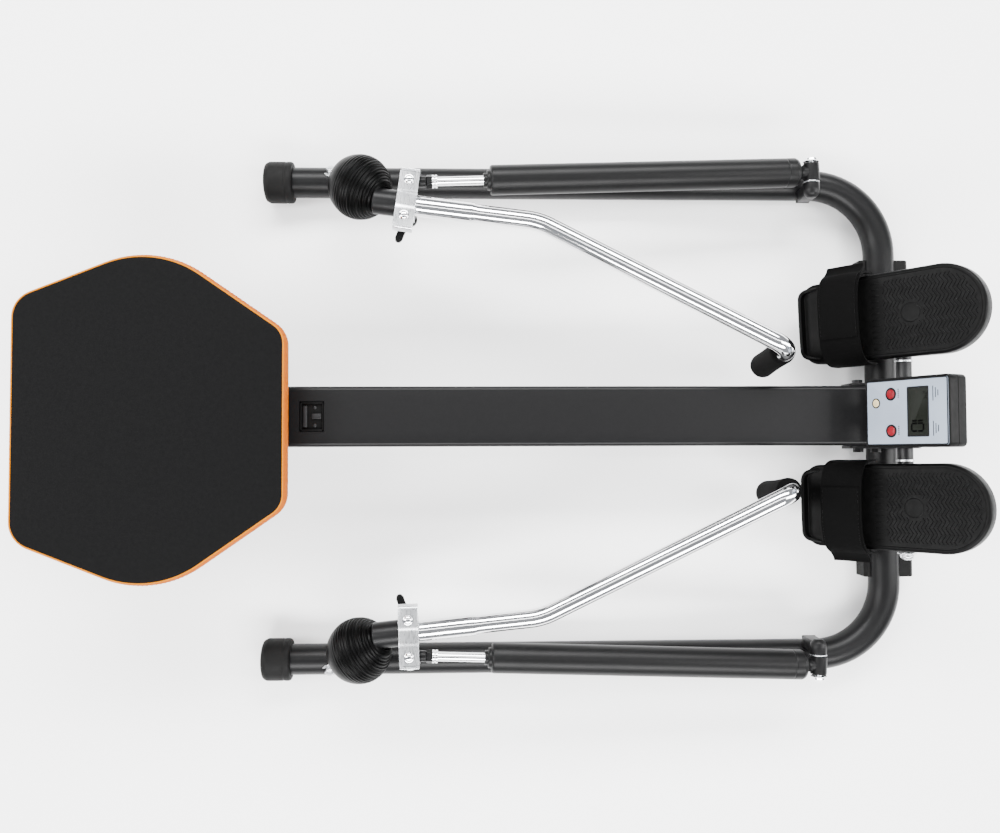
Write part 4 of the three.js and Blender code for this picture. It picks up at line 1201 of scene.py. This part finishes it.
def front_post(side, sign):
    """Post on the leg with its rounded head, bolt, washers and dome nut."""
    pin = pivot(f"cylinder_{side}_yaw")
    out = Y * sign
    at = Vector((pin.x, sign * 313 * MM, pin.z))
    foot = Vector((pin.x, at.y, TUBE_Z)) + mm(0, 0, 16.5)
    head = pairs((0, -10.8), (6, -10.2), (9.8, -6), (11.2, 0), (11.2, 10.4), (0, 10.4))
    dome = pairs(
        (0, 14.2), (10.8, 14.2), (10.8, 15.6), (9.6, 16), (9.2, 18.6), (6.5, 21.2), (3, 22.4), (0, 22.6)
    )
    weld = [foot + mm(x, -sign * 6, 1) for x in (-9, 9)]
    parts = [
        lathe("h", head, at, out, POWDER, 1.6, 48, 60),
        block("c", foot + mm(-9, -8, 0), at + mm(9, 8, 0), 1.6, POWDER),
        sweep("w", weld, 2.4 * MM, POWDER, 12),
        lathe("w", disc(11.2, 10.4, 11.8), at, out, ZINC, 0.3, 48),
        sweep("b", [at + out * 11.8 * MM, pin + out * 14.5 * MM], 4 * MM, ZINC, 32),
        lathe("n", dome, pin, out, CHROME, 0.8, 48, 40),
    ]
    give(merge(f"front_post_{side}_set", *parts), "frame", f"front_post_{side}", slot="black_paint")


# ------------------------------------------------------------------ pedals (mm in the pedal's own frame)
PEDAL = {"heel": -131, "toe": 117.8, "half": 59, "top": 30, "thick": 20}
STRAP = {"x": -60, "half": 28, "rise": 36}
PEDAL_TILT = 46.4
PEDAL_SHIFT = 6 * MM
PEDAL_YAW = {"left": 2.5, "right": 0.5}


def pedal_matrix(side):
    """The pedal's own frame; it sits a little to one side on the axle, with some play."""
    at = pivot(f"pedal_{side}_tilt") + Y * PEDAL_SHIFT
    yaw = Matrix.Rotation(math.radians(PEDAL_YAW[side]), 4, "Z")
    return Matrix.Translation(at) @ yaw @ Matrix.Rotation(math.radians(-PEDAL_TILT), 4, "Y")


def pedal_outline():
    heel, toe, half = PEDAL["heel"], PEDAL["toe"], PEDAL["half"]
    corners = [
        (heel, 3 - half, 22), (toe, -half, half - 1), (toe, half, half - 1), (heel, half - 3, 22),
    ]
    corners = [(x * MM, y * MM, r * MM) for x, y, r in corners]
    return evenly(rounded_outline(corners, 16), 6 * MM)


def inside(point, outline):
    hit = False
    for a, b in zip(outline, outline[1:] + outline[:1]):
        if (a.y > point.y) != (b.y > point.y):
            if point.x < a.x + (point.y - a.y) / (b.y - a.y) * (b.x - a.x):
                hit = not hit
    return hit


def ridge(run):
    """A low straight-sided rib along points that lie in one plane."""
    section = pairs((-0.85, -0.6), (0.85, -0.6), (0.45, 0.55), (-0.45, 0.55))
    rings = []
    for i, p in enumerate(run):
        a, b = run[max(i - 1, 0)], run[min(i + 1, len(run) - 1)]
        t = (b - a).normalized()
        across = Vector((-t.y, t.x, 0))
        rings.append([p + across * s + Z * h for s, h in section])
    return skin("rib", rings, TREAD, angle=20)


def chevrons(outline):
    """Zigzag ribs over the front part, clear of the round boss in the middle."""
    field = inset(outline, 10 * MM)
    boss = mm(22, 0)
    height = (PEDAL["top"] - 0.75) * MM
    pitch, reach, teeth = 5.2 * MM, 5.5 * MM, 6
    width = (PEDAL["half"] - 9) * MM
    ribs = []
    x = -17 * MM
    while x < (PEDAL["toe"] + 10) * MM:
        run = []
        for i in range(teeth * 4 + 1):
            saw = abs((i / 4) % 1 - 0.5) * 2
            p = Vector((x + saw * reach, -width + 2 * width * i / (teeth * 4)))
            ok = inside(p, field) and (p - boss).length > 15.5 * MM and p.x > -16 * MM
            if ok:
                run.append(Vector((*p, height)))
            if not ok or i == teeth * 4:
                if len(run) > 1:
                    ribs.append(ridge(run))
                run = []
        x += pitch
    return ribs


def heel_cup():
    heel, top = PEDAL["heel"], PEDAL["top"]
    wall = [mm(heel + 24, -50, 0), mm(heel + 3, -46, 0), mm(heel + 3, 46, 0), mm(heel + 24, 50, 0)]
    cup = [p + mm(0, 0, top - 2) for p in spaced(filleted(wall, 18 * MM, 8), 6 * MM)]
    half, soft = 2.3, 1.2
    rings = []
    for i, p in enumerate(cup):
        t = (cup[min(i + 1, len(cup) - 1)] - cup[max(i - 1, 0)]).normalized()
        n = Vector((-t.y, t.x, 0))
        h = 1.5 + 12.5 * math.sin(math.pi * i / (len(cup) - 1)) ** 0.45
        section = pairs(
            (-half, 0), (-half, h - 1), (soft - half, h), (half - soft, h), (half, h - 1), (half, 0)
        )
        rings.append([p + n * across + Z * up for across, up in section])
    return skin("cup", rings, TREAD, angle=40)


def pedal(side):
    top, low = PEDAL["top"], PEDAL["top"] - PEDAL["thick"]
    outline = pedal_outline()
    rings = []
    for draw, z in (
        (9.0, top - 5.2), (5.2, top - 5.2), (4.6, top - 6), (4.4, low + 1), (3.6, low), (1.2, low),
        (0.3, low + 0.8), (0.15, low + 8), (0.15, top - 4), (0.8, top - 1.6), (2.2, top - 0.5),
        (4.0, top - 0.1), (5.4, top - 0.2), (6.2, top - 1), (8.5, top - 1.2),
    ):
        rings.append(level(inset(outline, draw * MM), z * MM))
    plate = skin("plate", rings, TREAD, angle=40)
    boss = pairs((0, -2), (13, -2), (13, 0.1), (12, 0.5), (0, 0.7))
    boss = lathe("boss", boss, mm(22, 0, top - 1), Z, TREAD, 0.5, 56, 30)
    ribs = chevrons(outline)
    grooves = [block("g", mm(-30, y - 1, 29), mm(-18, y + 1, 29.6), 0.3, TREAD) for y in range(-44, 45, 8)]
    cup = heel_cup()
    lug = [(13 * math.cos(a), 13 * math.sin(a)) for a in (math.pi + math.pi * i / 16 for i in range(17))]
    lug = [mm(*p) for p in [*lug, (13, top - 5), (-13, top - 5)]]
    lugs = []
    for y in (-44, 38):
        rings = []
        for yy, draw in ((y, 0.8), (y + 0.8, 0), (y + 5.2, 0), (y + 6, 0.8)):
            rings.append([Vector((p.x, yy * MM, p.y)) for p in inset(lug, draw * MM)])
        lugs.append(skin("lug", rings, TREAD, angle=30))
    webs = [block("r", mm(x - 1.2, -52, 12), mm(x + 1.2, 52, 25), 0.4, TREAD) for x in (-90, -50, 50)]
    webs += [block("r", mm(-122, y - 1.2, 12), mm(100, y + 1.2, 25), 0.4, TREAD) for y in (-22, 22)]
    o = merge(f"foot_plate_{side}", plate, boss, *ribs, *grooves, cup, *lugs, *webs)
    give(put(o, pedal_matrix(side)), f"pedal_{side[0]}", f"pedal_{side}", slot="black_plastic")


def band(name, line, half, thick):
    """A strip of webbing along a line of (y, z), slightly domed across its width."""
    rings = []
    across = [-1 + 2 * k / 8 for k in range(9)]
    for i, (y, z) in enumerate(line):
        ya, za = line[max(i - 1, 0)]
        yb, zb = line[min(i + 1, len(line) - 1)]
        t = Vector((0, yb - ya, zb - za)).normalized()
        n = Vector((0, -t.z, t.y))
        ring = []
        for face, stations in ((0.5, across), (-0.5, across[::-1])):
            for s in stations:
                dome = 0.3 * (1 - s * s)
                ring.append((Vector((STRAP["x"] + s * half, y, z)) + n * (thick * face + dome)) * MM)
        rings.append(ring)
    return skin(name, rings, WEBBING, angle=35)


def strap(side, sign):
    """Webbing arch: lower layer across the foot, upper layer with a loose end outside."""
    top, rise, reach = PEDAL["top"], STRAP["rise"], PEDAL["half"] + 3

    def bow(t, lift=0.0, spread=0.0):
        """A point of the arch, t from 0 at the inner side to 1 at the outer side."""
        a = math.pi * t
        flat = math.copysign(abs(math.cos(a)) ** 0.62, math.cos(a))
        return -sign * flat * (reach + spread), top - 14 + (rise + 14) * math.sin(a) ** 0.55 + lift

    steps = 44
    base = [bow(i / steps) for i in range(steps + 1)]
    flap = [bow(0.42 + 0.46 * i / steps, 1.7, 1.4) for i in range(steps + 1)]
    y_end, z_end = flap[-1]
    for i in range(1, 9):  # loose end, standing off the side
        flap.append((y_end + sign * 1.6 * i, z_end - 2.4 * i + 0.12 * i * i))
    parts = [
        band("lower", base, STRAP["half"], 2.4),
        band("upper", flap, STRAP["half"] - 2, 1.9),
    ]
    for x in (STRAP["x"] - STRAP["half"] + 3.2, STRAP["x"] + STRAP["half"] - 3.2):
        for i in range(2, len(flap) - 10, 2):
            a, b = (mm(x, y, z + 1.35) for y, z in flap[i : i + 2])
            parts.append(sweep("st", [a, a.lerp(b, 0.5), a.lerp(b, 0.9)], 0.35 * MM, TREAD, 5))
    o = put(merge(f"foot_strap_{side}", *parts), pedal_matrix(side))
    give(o, f"pedal_{side[0]}", f"strap_{side}", slot="webbing")


def axle():
    """Axle with spacer sleeves and washers beside the pedals' lugs, and dome nuts on its ends."""
    lo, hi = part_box("pedal_axle")
    at = (lo + hi) / 2
    r = (hi.z - lo.z) / 2 / MM
    end = hi.y / MM - 10
    parts = [lathe("bar", disc(r, -end, end), at, Y, ZINC, 1, 48)]
    for side, sign in SIDES:
        shift = sign * PEDAL_SHIFT / MM
        washer = 65.5 + shift
        for a, b in ((43, washer - 0.2), (washer + 2.4, 83.6 + shift), (172.6 + shift, end - 7.5)):
            parts.append(lathe("s", tube_wall(r + 0.1, r + 3.2, a, b), at, Y * sign, NYLON, 0.6, 40))
        profile = tube_wall(r, r + 5, washer, washer + 2.2)
        parts.append(lathe("w", profile, at, Y * sign, ZINC, 0.3, 40))
    give(merge("pedal_axle_bar", *parts), "frame", "pedal_axle", slot="zinc")
    nut = pairs(
        (r + 0.3, -7), (12.5, -7), (12.5, -5.4), (9, -5.1), (9, -1), (7.5, 1.2), (5, 2.6), (0, 3.2)
    )
    for side, sign in SIDES:
        o = lathe(f"dome_nut_{side}", nut, at + mm(0, sign * end, 0), Y * sign, ZINC, 0.7, 48, 30)
        give(o, "frame", f"axle_nut_{side}", slot="zinc")


# ------------------------------------------------------------------ counter (mm from the face's lower edge)
CONSOLE = {"length": 126, "width": 87, "depth": 30}
SEGMENTS = {"0": "abcdef", "1": "bc", "2": "abdeg", "4": "bcfg"}


def console_matrix():
    """The counter's frame: x up the face, y across, z out of the face."""
    normal = -along("button_left_press")
    up = Vector((normal.z, 0, -normal.x))
    lo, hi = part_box("console_housing")
    foot = Vector((lo.x, 0, hi.z - CONSOLE["length"] * MM * up.z))
    return Matrix.Translation(foot) @ Matrix((up, Y, normal)).transposed().to_4x4()


def moulding(name, outline, steps, material, loop=True, angle=30):
    """Rings drawn in from an outline: steps are (inset, height) in millimetres."""
    rings = [level(inset(outline, draw * MM), z * MM) for draw, z in steps]
    return skin(name, rings, material, loop=loop, angle=angle)


def console():
    m = console_matrix()
    length, half, depth = CONSOLE["length"] * MM, CONSOLE["width"] * MM / 2, CONSOLE["depth"]
    shape = evenly(rounded_outline(rectangle(0, length, -half, half, 6 * MM), 8), 8 * MM)
    steps = (
        (10, 0.2 - depth), (1.6, 0.1 - depth), (0.4, 0.8 - depth), (0.05, 2.5 - depth), (0.05, -15.2),
        (0.5, -14.8), (0.5, -14.0), (0.05, -13.6), (0.05, -2.2), (0.4, -0.8), (1.2, -0.15), (2.2, -0.05),
        (2.7, -0.6), (2.8, -2.4),
    )
    parts = [moulding("shell", shape, steps, PLASTIC, loop=False, angle=35)]
    for x in range(96, 114, 4):
        parts.append(block("v", mm(x, -16, -30.1), mm(x + 1.6, 16, -29.4), 0.3, PLASTIC))
    give(put(merge("counter_housing", *parts), m), "frame", "console_housing", slot="black_plastic")

    # Face plate: silver print with a black border and short printed bars.
    steps = ((2.9, 0.2), (2.9, 0.62), (3.2, 0.75), (4.1, 0.75), (4.3, 0.6), (4.3, 0.3))
    parts = [
        slab("face", inset(shape, 2.9 * MM), -2 * MM, 0.45 * MM, 0.4 * MM, SILVER),
        moulding("border", shape, steps, INK),
    ]
    bars = [(51.5, 53, y - 5 + 2.4 * k, y - 3.5 + 2.4 * k) for y in (23, -23) for k in range(5)]
    long_bars = ((102, (12, 30), (-30, -12)), (105.5, (16, 28), (-27, -15)), (109, (-25, -17), (18, 25)))
    for x, *spans in long_bars:
        bars += [(x, x + 1.1, y0, y1) for y0, y1 in spans]
    for x0, x1, y0, y1 in bars:
        parts.append(block("m", mm(x0, y0, 0.42), mm(x1, y1, 0.56), 0.05, INK, 1))
    give(put(merge("counter_face", *parts), m), "frame", "console_face", slot="silver_face")

    # Display: dark bezel, grey-green glass and seven-segment digits.
    window = rectangle(65.3 * MM, 96.7 * MM, -30.7 * MM, 30.7 * MM, 1.5 * MM)
    window = evenly(rounded_outline(window, 5), 8 * MM)
    steps = ((0, 0.3), (0, 0.85), (0.4, 1.0), (1.6, 1.0), (2.0, 0.7), (2.2, 0.2))
    parts = [
        moulding("bezel", window, steps, INK),
        slab("glass", inset(window, 1.8 * MM), -3.5 * MM, 0.62 * MM, 0.15 * MM, LCD),
    ]
    large, small = (71.5, 17), (89, 5.5)  # foot and height of the digits
    for digit, left, row in (("1", -2, large), ("0", -14.5, large), ("2", 24, small), ("4", 19, small)):
        parts += seven_segments(digit, left, *row)
    give(put(merge("counter_display", *parts), m), "frame", "lcd_window", slot="display")

    ring = pairs((6.4, 0.3), (8.2, 0.3), (8.2, 0.75), (7.6, 0.95), (6.4, 0.95))
    button = pairs((0, -8), (8, -8), (8, -6), (5.9, -6), (5.9, 1), (5.4, 1.7), (3, 2.2), (0, 2.3))
    for side, sign in SIDES:
        at = mm(41, sign * 23, 0)
        give(put(lathe(f"button_ring_{side}", ring, at, Z, INK, 0.15, 48), m), "frame")
        o = put(lathe(f"button_{side}_cap", button, at, Z, RED, 0.5, 48, 50), m)
        give(o, f"button_{side[0]}", f"button_{side}", slot="red_button")

    at = mm(18, 12.5, 0)
    lens = pairs((0, -4), (4.9, -4), (4.9, 0.9), (4, 1.4), (0, 1.7))
    ring = pairs((5, 0.3), (6.3, 0.3), (6.3, 0.8), (5, 0.9))
    parts = [lathe("l", lens, at, Z, CREAM, 0.5, 40, 50), lathe("r", ring, at, Z, INK, 0.15, 40)]
    give(put(merge("counter_lens", *parts), m), "frame", "sensor_window", slot="silver_face")
    keep_cad(["battery_cover"], PLASTIC, 0.5)
    keep_cad(["console_stalk"], POWDER, 1.0)


def seven_segments(digit, left, foot, size):
    """Bars of one digit; it reads upwards along x and runs towards -y."""
    w, h, t = size * 0.55, size, size * 0.13
    bars = {
        "a": (0, w, h, h), "g": (0, w, h / 2, h / 2), "d": (0, w, 0, 0),
        "f": (0, 0, h / 2, h), "b": (w, w, h / 2, h), "e": (0, 0, 0, h / 2), "c": (w, w, 0, h / 2),
    }
    made = []
    for s in SEGMENTS[digit]:
        y0, y1, x0, x1 = bars[s]
        grow_x = t / 2 if x0 == x1 else -t * 0.3
        grow_y = t / 2 if y0 == y1 else -t * 0.3
        lo = mm(foot + x0 - grow_x, left - y1 - grow_y, 0.6)
        hi = mm(foot + x1 + grow_x, left - y0 + grow_y, 0.74)
        made.append(block("d", lo, hi, 0.05, DIGITS, 1))
    return made


def front_bracket():
    keep_cad(["front_bracket"], POWDER, 1.0)
    longer = 10 * MM  # past the CAD foot, outwards
    for side, sign in SIDES:
        lo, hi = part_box(f"front_foot_{side}")
        if sign > 0:
            hi.y += longer
        else:
            lo.y -= longer
        r = TUBE_R + 0.3 * MM
        outline = [
            Vector((lo.x, 3 * MM)), Vector((lo.x + 3 * MM, 0)), Vector((hi.x - 3 * MM, 0)),
            Vector((hi.x, 3 * MM)), Vector((hi.x, hi.z - 4 * MM)), Vector((hi.x - 4 * MM, hi.z)),
        ]
        a0 = math.atan2(hi.z - TUBE_Z, math.sqrt(r * r - (hi.z - TUBE_Z) ** 2))
        a1 = -math.pi - a0
        for i in range(25):  # the round seat for the tube
            a = a0 + (a1 - a0) * i / 24
            outline.append(Vector((CROSS_X + r * math.cos(a), TUBE_Z + r * math.sin(a))))
        outline += [Vector((lo.x + 4 * MM, hi.z)), Vector((lo.x, hi.z - 4 * MM))]
        rings = []
        for depth, draw in ((0, 1.4), (0.4, 0.4), (1.4, 0)):
            rings.append([Vector((p.x, lo.y + depth * MM, p.y)) for p in inset(outline, draw * MM)])
        for depth, draw in ((1.4, 0), (0.4, 0.4), (0, 1.4)):
            rings.append([Vector((p.x, hi.y - depth * MM, p.y)) for p in inset(outline, draw * MM)])
        saddle = skin(f"saddle_foot_{side}", rings, RUBBER, angle=35)
        give(saddle, "frame", f"front_foot_{side}", slot="rubber")


# ------------------------------------------------------------------ build everything
floor_frame()
feet()
rail()
cushion()
stitches()
seat_underside()
front_bracket()
axle()
console()
for side, sign in SIDES:
    boot(side, sign)
    joint_inside(side, sign)
    sleeve(side, sign)
    clamp(side, sign)
    cam_lever(side, sign)
    arm_tube(side, sign)
    grip(side, sign)
    cylinder(side, sign)
    front_post(side, sign)
    pedal(side)
    strap(side, sign)


# ------------------------------------------------------------------ floor and light
def studio():
    world = bpy.data.worlds.new("studio")
    bpy.context.scene.world = world
    world.use_nodes = True
    background = world.node_tree.nodes["Background"]
    background.inputs["Color"].default_value = (0.92, 0.95, 1, 1)
    background.inputs["Strength"].default_value = 0.4

    bm = bmesh.new()
    bmesh.ops.create_grid(bm, x_segments=8, y_segments=8, size=6)
    data = bpy.data.meshes.new("floor")
    bm.to_mesh(data)
    bm.free()
    data.materials.append(floor_paint())
    ground = bpy.data.objects.new("floor", data)
    bpy.context.scene.collection.objects.link(ground)

    for name, place_m, size, watts in (
        ("overhead", (0, 0.35, 2.9), (3.4, 0.22), 26),
        ("far_side", (-0.1, 2.1, 2.1), (3.6, 0.9), 330),
        ("near_side", (0.1, -2.1, 2.1), (3.6, 0.9), 330),
        ("front", (2.5, 0, 1.9), (0.9, 2.8), 150),
        ("rear", (-2.5, 0, 1.9), (0.9, 2.8), 150),
    ):
        lamp = bpy.data.lights.new(name, "AREA")
        lamp.shape = "RECTANGLE"
        lamp.size, lamp.size_y = size
        lamp.energy = watts
        o = bpy.data.objects.new(name, lamp)
        bpy.context.scene.collection.objects.link(o)
        o.location = place_m
        o.rotation_mode = "QUATERNION"
        o.rotation_quaternion = (-Vector(place_m)).to_track_quat("-Z", "Y")


studio()
